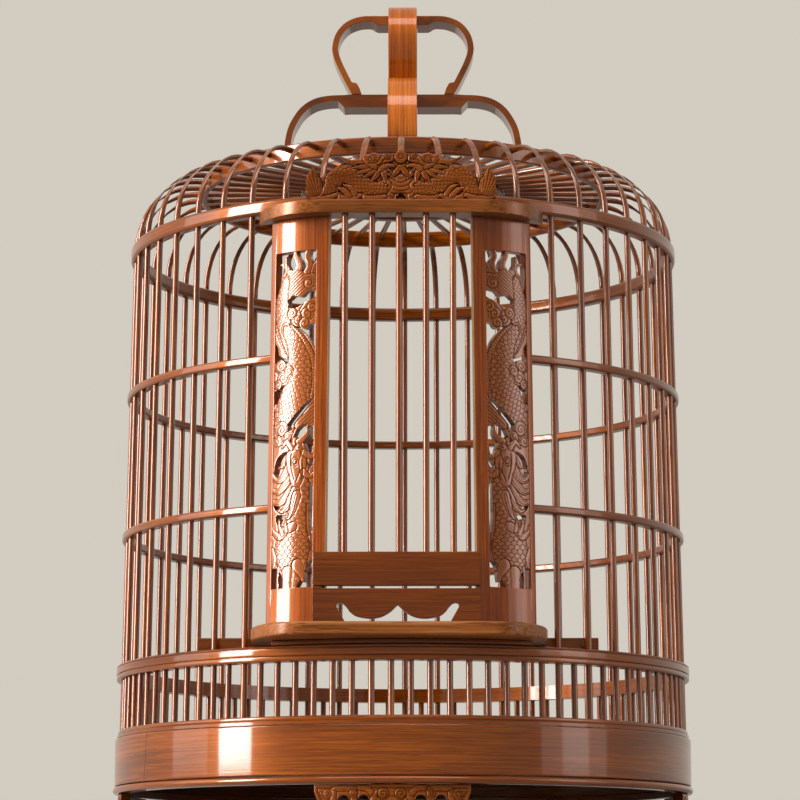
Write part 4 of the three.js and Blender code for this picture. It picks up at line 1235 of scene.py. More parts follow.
class Relief:
    """A board to carve: how far each grid point lies inside the wood, its level and its dark cuts. A
    symmetric board is drawn from its middle outwards, and its other half follows."""

    def __init__(self, left, right, foot, top, pitch, symmetric=False):
        columns = round((right - left) / pitch) + 1
        rows = round((top - foot) / pitch) + 1
        self.x, self.z = np.meshgrid(np.linspace(left, right, columns), np.linspace(foot, top, rows))
        self.across = np.abs(self.x) if symmetric else self.x
        self.inside = np.full(self.x.shape, OUTSIDE)
        self.level = np.zeros(self.x.shape)
        self.cuts = np.zeros(self.x.shape)

    def lay(self, inside, level, dome=1.0, cuts=0.0, rise=0.0):
        """Lays one motif over the others, with a fine cut all round it."""
        edge = groove(inside, SURROUND_WIDTH) * (inside < 0) * (self.inside > 0)
        self.level -= SURROUND_DEPTH * edge
        self.cuts = np.maximum(self.cuts, edge)
        over = inside >= 0
        rounding = 1 - np.exp(-np.maximum(inside, 0) / ROUND_OVER)
        self.level = np.where(over, level + dome * rounding + rise - CUT_DEPTH * cuts, self.level)
        self.cuts = np.where(over, cuts, self.cuts)
        self.inside = np.maximum(self.inside, inside)

    def from_place(self, x, z):
        """Each grid point's distance from one place."""
        return np.hypot(self.across - x, self.z - z)

    def follow(self, points):
        """For each grid point, the distance along a smooth curve and the signed distance off it."""
        curve = np.array(smooth_curve(points, 8))
        steps = np.diff(curve, axis=0)
        lengths = np.linalg.norm(steps, axis=1)
        passed = np.concatenate([[0], np.cumsum(lengths)[:-1]])
        best = np.full(self.x.shape, FAR)
        along, side = np.zeros(self.x.shape), np.ones(self.x.shape)
        for start, step, length, before in zip(curve, steps, lengths, passed):
            dx, dz = self.across - start[0], self.z - start[1]
            share = np.clip((dx * step[0] + dz * step[1]) / length**2, 0, 1)
            distance = np.hypot(dx - share * step[0], dz - share * step[1])
            nearer = distance < best
            best = np.where(nearer, distance, best)
            along = np.where(nearer, before + share * length, along)
            side = np.where(nearer, np.sign(step[0] * dz - step[1] * dx), side)
        return along, best * side, lengths.sum()

    def blob(self, points):
        """How far each grid point lies inside a closed shape with a smooth outline."""
        curve = np.array(smooth_curve(points, 6, closed=True))
        best = np.full(self.x.shape, FAR)
        odd = np.zeros(self.x.shape, dtype=bool)
        for (x0, z0), (x1, z1) in zip(curve, np.roll(curve, -1, axis=0)):
            dx, dz = self.across - x0, self.z - z0
            sx, sz = x1 - x0, z1 - z0
            share = np.clip((dx * sx + dz * sz) / max(sx * sx + sz * sz, TINY), 0, 1)
            best = np.minimum(best, np.hypot(dx - share * sx, dz - share * sz))
            crosses = (z0 > self.z) != (z1 > self.z)
            at = x0 + dz / (sz if abs(sz) > TINY else TINY) * sx
            odd ^= crosses & (self.across < at)
        return np.where(odd, best, -best)

    def stroke(self, points, widths):
        """A swept shape with half widths given at equal steps along its curve."""
        along, off, length = self.follow(points)
        half = np.interp(along / length, np.linspace(0, 1, len(widths)), widths)
        return half - np.abs(off), along, off

    def sweep(self, strokes, level, dome=1.0, vein=NO_VEIN):
        """Lays swept shapes, each given by its points and half widths. A vein is a cut on both sides of
        the middle line: how far off that it lies, its width, and how far it keeps from the edge."""
        aside, width, margin = vein
        for points, widths in strokes:
            inside, _, off = self.stroke(points, widths)
            self.lay(inside, level, dome, groove(np.abs(off) - aside, width) * (inside > margin))

    def scaly(self, points, widths, size, level, dome):
        """Lays a swept body that is covered with scales."""
        inside, along, off = self.stroke(points, widths)
        rise, cut = scales(along, off, size)
        self.lay(inside, level, dome, cut, rise)

    def ribbed(self, points, widths, level, dome, pitch, share, slant=0.0):
        """Lays a swept shape with cuts across it."""
        inside, along, off = self.stroke(points, widths)
        self.lay(inside, level, dome, ribs(along + slant * off, pitch, share))

    def fan(self, points, level, dome, coordinate, pitch, share=0.36, margin=0.5):
        """Lays a closed shape with cuts that follow a coordinate and keep a margin from its edge."""
        inside = self.blob(points)
        self.lay(inside, level, dome, ribs(coordinate, pitch, share) * (inside > margin))

    def curls(self, curls, level, dome=1.0):
        """Lays curled clouds: discs with a spiral cut. Each has its middle, its radius, its turns, the
        angle that the spiral starts at and the way it turns."""
        for x, z, radius, turns, start, way in curls:
            distance = self.from_place(x, z)
            bearing = np.arctan2(self.z - z, self.across - x)
            angle = np.mod(way * (bearing - start), FULL_TURN) / FULL_TURN
            step = radius / (turns + SPIRAL_END)
            off = np.abs(np.mod(distance / step - angle + 0.5, 1) - 0.5) * step
            cut = groove(off, SPIRAL_WIDTH, SPIRAL_REACH) * (distance < radius - SPIRAL_RIM)
            self.lay(radius - distance, level, dome, cut)

    def disc(self, x, z, radius, level, dome, ring=FAR, width=1.0):
        """Lays a round boss, which can have a ring cut into it: the ring's radius and the cut's width."""
        distance = self.from_place(x, z)
        self.lay(radius - distance, level, dome, groove(distance - ring, width, RING_REACH))

    def line(self, points):
        """A gouged line over whatever lies there."""
        _, off, _ = self.follow(points)
        cut = groove(off, LINE_WIDTH, LINE_REACH)
        self.level -= LINE_DEPTH * cut
        self.cuts = np.maximum(self.cuts, cut)

    def pierce(self, outlines):
        """Saws holes, each along a smooth outline."""
        for points in outlines:
            self.inside = np.minimum(self.inside, -self.blob(points))


# %% [markdown]
# Each post shows a scaled dragon that climbs down among clouds. It is drawn in the order in which the
# carver leaves it standing: the ground with its sawn openings first, then what lies deep, and the head
# and claws last. All points are in millimetres, from the outer stile to the door and up from the
# panel's foot.

# %% The post's ground with its openings, and the flames over the dragon's tail
# the panel reaches under its frame by the margin, and away from the openings its ground is deep in wood
POST_MARGIN = 0.3
GROUND_DEPTH = 9.0
POST_OPENINGS = [
    [(-2, 188), (-2, 163), (1.4, 160.5), (3.2, 168), (4.4, 173), (10, 174.5), (18, 173), (27, 174),
     (27, 188)],
    [(6, 158), (8, 161), (13, 160.6), (19, 162), (25, 162.6), (25.4, 159), (20, 156.6), (14, 153.6),
     (7, 154.4)],
    [(-1, 134), (1.5, 133), (2.6, 128.5), (5.5, 126.4), (9.8, 125), (9.6, 122.6), (5, 124), (-1, 124)],
    [(-1, 107.5), (2.5, 109.3), (6, 111), (10.6, 112.6), (6.6, 108.4), (4.2, 105.4), (3, 102), (-1, 101)],
    [(9, 78), (13, 82), (17, 87.6), (25.2, 87.4), (24.4, 72.6), (21.6, 72.4), (20.4, 77), (17, 78.4),
     (11, 77)],
    [(0.6, 66), (2.4, 71), (6, 73.6), (9.8, 74.2), (8.6, 71.4), (5.4, 68.6), (4, 62), (3, 59.5),
     (0.8, 60.2)],
    [(19, 67), (21, 68.4), (22.4, 66.4), (25, 70), (25.2, 66.5), (22.6, 63.4), (20.6, 62), (19.2, 63.8)],
    [(1, 48.4), (3.4, 46), (4.8, 43.6), (2.4, 42.2), (0.8, 44.4)],
    [(2, 39), (5, 40.2), (9, 38.8), (11, 35), (10, 30.8), (6.6, 32.2), (3.6, 34)],
    [(21.6, 58), (25.2, 54.6), (25.3, 40), (25, 29.4), (23.2, 33), (21.4, 40), (20.4, 47), (20.6, 54)],
    [(-2, -3), (-2, 11.6), (3, 10.8), (6.6, 9.6), (7.4, 4), (7.4, -3)],
    [(13.6, -3), (13.8, 4.6), (16.5, 5.6), (20.5, 6.4), (22.6, 12), (26, 13.4), (27, -3)],
]
FLAMES = [
    ([(11, 168), (13.6, 172.6), (15.4, 176), (15, 179), (13.2, 182), (12.4, 186)],
     [2.8, 2.6, 2.2, 1.8, 1.4, 1]),
    ([(18, 168), (20.4, 172.4), (21.9, 175.8), (21.4, 179), (20.2, 182), (21.4, 186)],
     [2.8, 2.5, 2, 1.7, 1.5, 1.3]),
    ([(5, 163), (5.4, 168), (6.8, 172), (7.4, 175), (6, 177.6), (3, 178.6)],
     [2.6, 2.3, 2.2, 1.8, 1.2, 0.5]),
    ([(6.9, 175.6), (6.4, 178.6), (6.6, 182.4)], [1, 0.8, 0.5]),
    ([(24.4, 170), (24, 174), (25.9, 178)], [1.5, 1.2, 0.8]),
]
FLAME_VEIN = (0, 0.25, 0.7)
TAIL_FIN = [
    (8, 174), (12, 174.5), (17, 173.6), (20, 171.6), (25.8, 171.4), (25.8, 163.4), (21, 162.6),
    (17, 159.6), (12, 160.4), (8.4, 158.6), (6, 164),
]


def draw_flames(post):
    ground = np.full(post.x.shape, GROUND_DEPTH)
    for points in POST_OPENINGS:
        ground = np.minimum(ground, -post.blob(points))
    post.lay(ground, 0.6, 0.3)
    post.sweep(FLAMES, 0.5, vein=FLAME_VEIN)
    post.fan(TAIL_FIN, 0.5, 1.0, post.z - 0.75 * post.x, 1.9)
    post.curls([(21.6, 166.8, 2.9, 1.2, 1, 1)], 0.8)


# %% The dragon's body
def draw_body(post):
    crest = [(2, 160), (1.6, 152), (2.2, 144), (5, 137), (8.6, 130.6)]
    post.ribbed(crest, [1.2, 2.2, 2.6, 2.8, 2.2], 0.2, 1.0, 2.1, 0.4, slant=0.5)
    upper = [(7, 170), (4.9, 162), (4.2, 155), (5.2, 147.5), (9.5, 138), (14.5, 130)]
    post.scaly(upper, [2.2, 3.6, 4.6, 5.2, 5.8, 6.4], 3.0, 0.9, 0.5)
    middle = [(7, 142.5), (14, 134.6), (17.4, 125), (17.4, 114.5), (13.6, 103.5), (8.6, 94), (6.4, 84)]
    post.scaly(middle, [3, 6, 8.4, 9, 9.6, 9, 6], 3.6, 1.1, 0.5)
    ridge = [(10.6, 144.4), (18.5, 136.5), (24.4, 125), (25.6, 113), (24, 103)]
    post.ribbed(ridge, [0.6, 1.1, 1.3, 1.3, 0.8], 1.2, 0.7, 1.7, 0.3)
    post.pierce([
        [(9.6, 144.6), (13, 144), (19, 142.8), (26, 144), (26, 131), (24.4, 131.4), (21, 137),
         (15.6, 141.8)],
        [(24.8, 103), (19.5, 99.6), (14.2, 94.6), (9, 89), (9.6, 85.6), (12.2, 86.2), (13.6, 89.4),
         (21.4, 98)],
    ])


# %% The clouds round the body
CLOUD_BANDS = [
    ([(17, 150), (21, 155), (26, 156.6)], [1.6, 1.8, 1.6]),
    ([(-0.5, 122), (3, 120), (8, 121), (12, 118)], [1.6, 2.2, 2.2, 1.6]),
    ([(-0.5, 111), (3, 113), (6, 116)], [1.4, 2, 2]),
]
CLOUDS = [
    (15.2, 147.2, 4.3, 1.7, 2.6, 1), (20.8, 149.6, 3.6, 1.4, 0.6, -1), (11.6, 150.4, 3.2, 1.3, 3.4, 1),
    (23.6, 153.4, 2.7, 1.1, 1, -1), (19.2, 144.4, 3, 1.2, 4.4, 1), (4, 121.4, 3.9, 1.6, 1.2, -1),
    (5.6, 115, 4.1, 1.6, 2.4, 1), (9.6, 118.6, 2.9, 1.2, 0.4, -1), (2.2, 111.6, 2.5, 1, 3, 1),
]
LOW_CLOUDS = [(5.2, 86.6, 4.4, 1.7, 0.6, 1), (2.4, 80.4, 3, 1.2, 2.4, -1), (9.4, 82.4, 2.4, 1, 1.2, 1)]
LOW_FIN = [(14.4, 89), (19, 94), (25.9, 100), (25.9, 88.4), (19, 88.6), (15.6, 86.2)]


def draw_clouds(post):
    post.sweep(CLOUD_BANDS, 0.6)
    post.curls(CLOUDS, 0.9)
    post.curls(LOW_CLOUDS, 0.8)
    post.fan(LOW_FIN, 0.7, 0.6, post.z - 0.8 * post.x, 2.0)


# %% The dragon's neck, mane, head and claws
STALKS = [
    ([(10.6, 8), (10.4, 3), (10.6, -1)], [3.6, 3, 3.2]),
    ([(4.4, 11), (4, 5), (4.2, -1)], [0.9, 0.7, 0.9]),
    ([(-0.8, 21), (1.2, 16), (1, 11.5)], [1.6, 1.8, 0.8]),
    ([(17, 12), (19.6, 7), (20.4, 3.4)], [3.4, 2.2, 0.6]),
]
MANE = [
    ([(15, 57), (9.6, 50), (4.6, 46.6), (-0.8, 47.4)], [2.6, 2.7, 2.1, 1.1]),
    ([(15.4, 53), (11, 45.4), (6.4, 41.8), (3, 42.6)], [2.5, 2.5, 1.8, 0.3]),
    ([(16, 50), (13.6, 42), (11.2, 38), (9.4, 37.6)], [2.5, 2.3, 1.6, 0.3]),
    ([(13.6, 62), (8.4, 56.4), (3.8, 52.6), (-0.8, 53.8)], [2.6, 2.6, 1.9, 1]),
    ([(12.6, 68), (8.6, 62.4), (4.8, 59), (1.4, 59.6), (-0.8, 62.4)], [2.6, 2.7, 2.1, 1.5, 1.2]),
    ([(11, 72), (7.6, 69), (6.2, 66.4), (3.8, 65.8)], [1.9, 2, 1.5, 0.4]),
]
MANE_VEIN = (0.75, 0.24, 0.5)
HEAD = [
    (9, 73), (13.6, 75.6), (17.8, 79.2), (20.4, 77), (21.6, 70), (20.8, 62), (17.4, 55), (13, 55.6),
    (11.6, 61), (9.4, 66.6),
]
HORNS = [
    ([(17, 79), (21.4, 83), (21.8, 88)], [1.9, 1.3, 0.4]),
    ([(12.4, 76), (9, 79.4), (5.8, 76.6)], [1.6, 1.4, 0.5]),
    ([(19.6, 73.6), (23, 70.6), (26.2, 71)], [1.5, 1.1, 0.9]),
    ([(20, 62.6), (23.4, 60), (26.2, 61.6)], [1.6, 1.1, 0.9]),
]
EYE = (14.6, 68.2)
CLAWS = [
    ([(14, 33), (9.4, 31.4), (4.6, 28), (0.6, 31), (0.2, 34.4)], [2.4, 2.4, 2.2, 1.2, 0.3]),
    ([(7, 29.6), (5, 33), (4.6, 37.6)], [1.5, 1.1, 0.3]),
    ([(9.8, 31), (9, 34.4), (9.2, 37)], [1.4, 1, 0.3]),
]


def draw_head(post):
    neck = [
        (14.4, 80), (17.4, 70), (18.6, 60), (18.8, 50), (17, 40), (14, 30), (12.8, 20), (13.6, 8), (13, -1),
    ]
    post.scaly(neck, [2.2, 4.2, 4.2, 4.6, 6.6, 9.6, 11.4, 8.4, 2.6], 3.9, 1.1, 0.5)
    post.lay(post.blob([(25.9, 21), (23.6, 27), (22, 36), (22.6, 45), (25, 22)]), 0.4)
    post.sweep(STALKS, 0.5)
    post.sweep(MANE, 1.2, vein=MANE_VEIN)
    post.lay(post.blob(HEAD), 1.4, 1.1)
    post.sweep(HORNS, 1.5, 0.8)
    post.curls([(*EYE, 2.3, 1, 0.4, 1)], 2.2, 0.6)
    post.disc(*EYE, 0.95, 2.6, 0.5)
    post.line([(19.6, 75), (17.4, 69), (17.6, 63), (15.6, 57.6)])
    post.line([(12.4, 73), (12, 69.4), (12.6, 64), (14.2, 59)])
    post.line([(19.4, 67), (19.6, 62), (18.6, 58.4)])
    post.curls([(17, 76.4, 1.9, 1, 2, 1)], 1.9, 0.7)
    post.sweep(CLAWS, 1.6, 0.8)


def draw_post(width, height, pitch):
    """The left post's panel."""
    post = Relief(-POST_MARGIN, width + POST_MARGIN, -POST_MARGIN, height + POST_MARGIN, pitch)
    for draw in (draw_flames, draw_body, draw_clouds, draw_head):
        draw(post)
    return post


# %% [markdown]
# On the crest two dragons face a pearl over water. Each is the mirror of the other, so only one is
# drawn, with x taken from the middle outwards.

# %% The crest's ground, water and body
CREST_GROUND = [
    (-3, 26), (4, 26.4), (12, 26), (20, 24.6), (24, 21.6), (31, 21.6), (36, 19), (40, 15), (43, 13.6),
    (46, 15), (48, 18.4), (51, 14), (51.6, 5), (50, 1), (38, 1), (30, 0.8), (20, 1), (10, 0.4), (-3, 0.6),
]
WATER = [
    (-2, 15), (6, 13.6), (10.4, 11.4), (12.4, 8), (10, 3.4), (7.6, 0.8), (4.4, 0.3), (3.2, 4.4), (-2, 5.6),
]
CREST_FEET = [
    ([(8.6, 2.6), (13.4, 1.6), (18.6, 1.8), (21, 3.6)], [1.2, 1.7, 1.7, 0.9]),
    ([(22.2, 3.2), (27.6, 1.8), (32.6, 2), (34.8, 4.4)], [1.2, 1.9, 1.9, 1]),
    ([(36, 3.2), (41, 1.6), (46.6, 1.6), (51.6, 3.6)], [1.4, 1.7, 1.7, 1.4]),
    ([(28, 3.4), (31, 6.2), (34.6, 7.6)], [1.7, 1.6, 0.6]),
    ([(25, 4), (27.4, 7.4), (31.4, 9.4)], [1.4, 1.4, 0.5]),
]
CREST_TAIL = [
    (43.4, 5), (43.6, 11.4), (45.8, 14.6), (48, 19.2), (50, 16.6), (51.9, 12.6), (51.9, 5.4), (49, 2.6),
]


def draw_crest_body(crest):
    waves = crest.from_place(29, 2) + 0.6 * np.sin(crest.across)
    crest.fan(CREST_GROUND, 0.1, 0.3, waves, 1.7, 0.3, margin=0.4)
    crest.fan(WATER, 0.3, 1.0, crest.from_place(0, 15), 2.3, 0.34, margin=0.0)
    body = [
        (8.4, 9), (13, 5.8), (18, 6.4), (22, 9.4), (26, 13.4), (31, 15.6), (36, 12.4), (38.4, 7),
        (43, 3.6), (48, 4),
    ]
    crest.scaly(body, [3.4, 5.2, 6.2, 5.6, 5.2, 5, 5, 4.2, 3.4, 2.4], 2.6, 0.8, 1.0)
    crest.sweep(CREST_FEET, 0.9, 0.8)
    spread = np.arctan2(crest.across - 44, crest.z + 4)
    crest.fan(CREST_TAIL, 1.0, 0.8, spread, 0.105, 0.4, margin=0.4)


# %% The crest's heads, pearl and openings
CREST_MANE = [
    ([(9, 18.6), (6, 15.6), (3.4, 12.4)], [1.8, 1.6, 0.4]),
    ([(10.6, 18.4), (9, 14.6), (8.4, 10.4)], [1.8, 1.6, 0.4]),
    ([(12.4, 18.6), (13.4, 14.4), (16.4, 11)], [1.9, 1.6, 0.4]),
    ([(14, 19.4), (17, 15.6), (20.6, 13)], [1.9, 1.6, 0.4]),
    ([(15, 20.4), (19.6, 17.2), (24.2, 15.8)], [1.9, 1.6, 0.4]),
    ([(16, 21.4), (20.6, 19.6), (26, 19)], [1.8, 1.5, 0.4]),
    ([(17, 22.8), (22.6, 22.4), (28, 22.6), (33.4, 25.2)], [1.6, 1.4, 1.1, 0.3]),
]
CREST_HEAD = [
    (3.8, 25.4), (5.6, 27), (8, 27.4), (9.6, 25.6), (12, 26.8), (15, 27.4), (18, 26.4), (20.4, 26.6),
    (20.8, 23.6), (18.6, 20.4), (14.6, 18), (10.4, 18.4), (9.6, 20.6), (6.6, 22), (4, 22.8),
]
HAIR_WIDTH = 0.22
# each notch in the lower edge has its place, half width and rise, and its shoulders stand at these
# shares of the two
CREST_NOTCHES = [(0, 3.2, 4.6), (21.6, 1, 2.2), (35.4, 1.2, 2.6)]
SHOULDER_OUT, SHOULDER_UP = 0.8, 0.6


def draw_crest_head(crest):
    crest.sweep(CREST_MANE, 1.2, 0.9, vein=(0, HAIR_WIDTH, 0.7))
    crest.lay(crest.blob(CREST_HEAD), 1.6, 1.0)
    crest.sweep([([(4, 19.8), (7.4, 20), (10.8, 18.2)], [0.9, 1.3, 1.6])], 1.4, 0.7)
    crest.sweep([([(0.4, 19.4), (2.6, 16.4), (5, 13.6)], [1.2, 1.7, 0.6])], 1.0, 0.8, (0, HAIR_WIDTH, 0))
    crest.line([(5.4, 23.6), (9, 23.4), (10.6, 21), (13, 20)])
    crest.line([(10.6, 25.4), (12, 23.2), (13.6, 21.2), (17.6, 21.4)])
    crest.curls([(7, 25.2, 1.5, 1, 1, 1)], 2.2, 0.5)
    crest.disc(15.2, 23.6, 1.9, 2.2, 0.5, ring=1.0, width=0.25)
    crest.disc(0, 25, 3.6, 1.9, 0.6, ring=1.3, width=0.3)
    crest.pierce([
        [(24, 20.8), (28, 20.2), (31, 20.9), (28, 21.6)],
        [(5.6, 17.4), (8, 17.8), (7.4, 16), (6.2, 15.8)],
    ])
    for x, half, rise in CREST_NOTCHES:
        out, up = half * SHOULDER_OUT, rise * SHOULDER_UP
        crest.pierce([[(x - half, -1), (x - out, up), (x, rise), (x + out, up), (x + half, -1)]])


def draw_crest(half_width, height, pitch):
    """The whole crest."""
    crest = Relief(-half_width, half_width, 0, height, pitch, symmetric=True)
    draw_crest_body(crest)
    draw_crest_head(crest)
    return crest


# %% [markdown]
# To turn a drawing into a board, a grid of faces is laid under it, the faces outside the wood are
# deleted, and what is left is extruded to its thickness. The front is then pushed in to the relief's
# level. A displace modifier could push it as well, but it needs a picture of the heights, and here each
# vertex can take its own height straight from the drawing.

# %% From a relief to a board
# how many millimetres the highest point lies behind the front, the largest share of the grid's pitch
# that an edge point is moved by, the gentlest slope that it follows, and how often corners are joined
CARVING_FACE = 0.1
MOST_PULL = 0.6
LEAST_SLOPE = 0.5
CLEANING_ROUNDS = 3


def sawn_clean(cells):
    """No crumb of a single cell is left, and cells that touch only by a corner are joined."""
    room = np.pad(cells, 1)
    cells = cells & (room[:-2, 1:-1] | room[2:, 1:-1] | room[1:-1, :-2] | room[1:-1, 2:])
    for _ in range(CLEANING_ROUNDS):
        a, b, c, d = cells[:-1, :-1], cells[:-1, 1:], cells[1:, :-1], cells[1:, 1:]
        rising, falling = a & d & ~b & ~c, b & c & ~a & ~d
        cells[:-1, 1:] |= rising
        cells[:-1, :-1] |= falling
    return cells


def sawn_edge(relief, row, column, edge):
    """The grid points' places in millimetres, with those on a sawn edge pulled onto the drawn outline."""
    x, z, inside = (part[row, column] for part in (relief.x, relief.z, relief.inside))
    pitch_z, pitch_x = relief.z[1, 0] - relief.z[0, 0], relief.x[0, 1] - relief.x[0, 0]
    slope_z, slope_x = (part[row, column] for part in np.gradient(relief.inside, pitch_z, pitch_x))
    steep = np.maximum(np.hypot(slope_x, slope_z), LEAST_SLOPE)
    most = MOST_PULL * pitch_x
    pull = np.where(edge, np.clip(-inside / steep, -most, most), 0) / steep
    x = np.clip(x + pull * slope_x, relief.x.min(), relief.x.max())
    z = np.clip(z + pull * slope_z, relief.z.min(), relief.z.max())
    return x, z


def fretwork(name, relief, depth, back):
    """A pierced board, flat and facing -Y: depth is how much a unit of relief is worth, and back the
    depth of its rear face, both in millimetres."""
    rows, columns = relief.x.shape
    leave()
    bpy.ops.mesh.primitive_grid_add(x_subdivisions=columns - 1, y_subdivisions=rows - 1, size=1)
    piece = added(name)
    mesh = piece.data
    unit_x, unit_y, _ = places_of(piece).T + 0.5
    column = np.rint(unit_x * (columns - 1)).astype(int)
    row = np.rint(unit_y * (rows - 1)).astype(int)
    quads = np.empty(4 * len(mesh.polygons), dtype=np.int32)
    mesh.polygons.foreach_get("vertices", quads)
    quads = quads.reshape(-1, 4)
    cell = row[quads].min(axis=1), column[quads].min(axis=1)
    cells = np.zeros((rows - 1, columns - 1), dtype=bool)
    cells[cell] = relief.inside[row, column][quads].mean(axis=1) > 0
    kept = sawn_clean(cells)[cell]
    uses = np.bincount(quads[kept].ravel(), minlength=len(row))
    x, z = sawn_edge(relief, row, column, (uses > 0) & (uses < 4))
    move_to(piece, np.stack([x, np.full(len(x), back), z], axis=1) * MM)
    # the cuts are kept as the hollow that the finish darkens with stain and painted shade
    for layer, values in (("level", relief.level), ("hollow", relief.cuts)):
        stored = mesh.attributes.new(layer, "FLOAT", "POINT").data
        stored.foreach_set("value", values[row, column].astype(np.float32))

    drop_faces(piece, ~kept)
    thicken(piece, (0, -back * MM, 0))
    places = places_of(piece)
    level = np.empty(len(places), dtype=np.float32)
    mesh.attributes["level"].data.foreach_get("value", level)
    front = places[:, 1] < back * MM / 2
    places[front, 1] = (CARVING_FACE + depth * (relief.level.max() - level[front])) * MM
    move_to(piece, places)
    mesh.attributes.remove(mesh.attributes["level"])
    return piece


# %% [markdown]
# A post is a frame of two stiles and two rails with the carving between them, all bent outwards to a
# curve. Bending real boards one by one would need a curve modifier each, so both parts are modelled
# flat, and every vertex is then moved onto the post's curve.

# %% The posts' sizes and their curve
POST_CURVE = 62 * MM
POST_SIDE = 29 * MM
POST_THICKNESS = 5 * MM
POST_FROM, POST_TO = math.radians(10.2), math.radians(44.6)
PANEL_FROM, PANEL_TO = math.radians(17.2), math.radians(40.8)
PANEL_FOOT, PANEL_HEAD = 19.7 * MM, 18.4 * MM
# the posts stand a little wider apart at the foot, and keep their place at this share of their height
POST_SPLAY = 2 * MM
SPLAY_LEVEL = 0.4
post_low, post_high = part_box("door_post_right")
post_tall = post_high[2] - post_low[2]
post_centre = post_low[1] + POST_CURVE * math.cos(POST_FROM)
post_wide = (POST_TO - POST_FROM) * POST_CURVE
panel_wide = (PANEL_TO - PANEL_FROM) * POST_CURVE
panel_tall = post_tall - PANEL_FOOT - PANEL_HEAD


def bend_post(piece, side, first):
    """Bends a flat piece to a post's curve: its x runs from the turn called first towards the door."""
    x, depth, z = places_of(piece).T
    turn = first - x / POST_CURVE
    radius = POST_CURVE - depth
    splay = POST_SPLAY * (SPLAY_LEVEL - (z - post_low[2]) / post_tall)
    outwards = POST_SIDE + radius * np.sin(turn) + splay
    move_to(piece, np.stack([side * outwards, post_centre - radius * np.cos(turn), z], axis=1))
    face_outwards(piece)


print("panel", round(panel_wide / MM, 1), "by", round(panel_tall / MM, 1), "mm")

# %% The flat frame of a post
FRAME_EDGE = 0.5 * MM
FRAME_STRIPS = 24
MIDDLE_FACE = 4


def post_frame():
    """The flat frame of a post: a grid of nine faces without its middle, given its thickness."""
    across = [0, (POST_TO - PANEL_TO) * POST_CURVE, (POST_TO - PANEL_FROM) * POST_CURVE, post_wide]
    upwards = [0, PANEL_FOOT, post_tall - PANEL_HEAD, post_tall]
    leave()
    bpy.ops.mesh.primitive_grid_add(x_subdivisions=3, y_subdivisions=3, size=1)
    piece = added("post_frame_flat")
    for vertex in piece.data.vertices:
        column, row = round((vertex.co.x + 0.5) * 3), round((vertex.co.y + 0.5) * 3)
        vertex.co = (across[column], POST_THICKNESS, post_low[2] + upwards[row])
    drop_faces(piece, [number == MIDDLE_FACE for number in range(9)])
    thicken(piece, (0, -POST_THICKNESS, 0))
    soften(piece, FRAME_EDGE)
    # the frame needs strips to bend over, which a bisect cuts without a window
    edit(piece)
    for i in range(1, FRAME_STRIPS):
        bpy.ops.mesh.select_all(action="SELECT")
        bpy.ops.mesh.bisect(plane_co=(post_wide * i / FRAME_STRIPS, 0, 0), plane_no=(1, 0, 0))
    leave()
    return piece


# %% The two posts
CARVING_PITCH = 0.3
POST_RELIEF = 0.14
POST_CARVING_BACK = 4.4
STILE_GRAIN_SHIFT = 3.1
# a stile's edge is all that lies within this many times its rounding
EDGE_REACH = 1.1
drawing = draw_post(panel_wide / MM, panel_tall / MM, CARVING_PITCH)
carving = fretwork("post_carving", drawing, POST_RELIEF, POST_CARVING_BACK)
carving.data.transform(Matrix.Translation((0, 0, post_low[2] + PANEL_FOOT)))
set_grain(carving, along_z)
stiles = post_frame()
set_grain(stiles, along_z, STILE_GRAIN_SHIFT)
# the stile beside the door shows its sawn edge, in a pale finish that is partly its flesh and partly a
# painted highlight
sawn_from = post_wide - EDGE_REACH * FRAME_EDGE
door_edge = [face.index for face in stiles.data.polygons if face.center.x > sawn_from]
for name, side in (("left", -1), ("right", 1)):
    post = copied(stiles, f"post_{name}_frame")
    bend_post(post, side, POST_TO)
    finish(post, POST, None, [f"door_post_{name}"])
    post.data.materials.append(CUT_EDGE)
    for index in door_edge:
        post.data.polygons[index].material_index = 1
    panel = copied(carving, f"post_{name}_carving")
    bend_post(panel, side, PANEL_TO)
    finish(panel, CARVED, None, [], smooth=60)
bpy.data.objects.remove(stiles)
bpy.data.objects.remove(carving)

# %% The crest
CREST_RELIEF = 0.5
crest_low, crest_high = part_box("crest_carving")
drawing = draw_crest(crest_high[0] / MM, (crest_high[2] - crest_low[2]) / MM, CARVING_PITCH)
crest = fretwork("crest_fretwork", drawing, CREST_RELIEF, (crest_high[1] - crest_low[1]) / MM)
crest.data.transform(Matrix.Translation((0, crest_low[1], crest_low[2])))
finish(crest, CARVED_DARK, along_x, ["crest_carving"], smooth=60)

# %% [markdown]
# Under the base stand four curved feet with a carved lower edge: scrolls between a raised border above
# and an arch below. They are drawn and sawn like the crest, and then bent to the base's circle.

# %% The foot's carving
# in millimetres: the border's place in from the edge and its half width, how far the board's edge is
# rounded, and how far below the top the sides start to slope in
BORDER_AT = 1.1
BORDER_HALF = 0.9
FOOT_ROUNDING = 3.0
FOOT_HEAD = 4
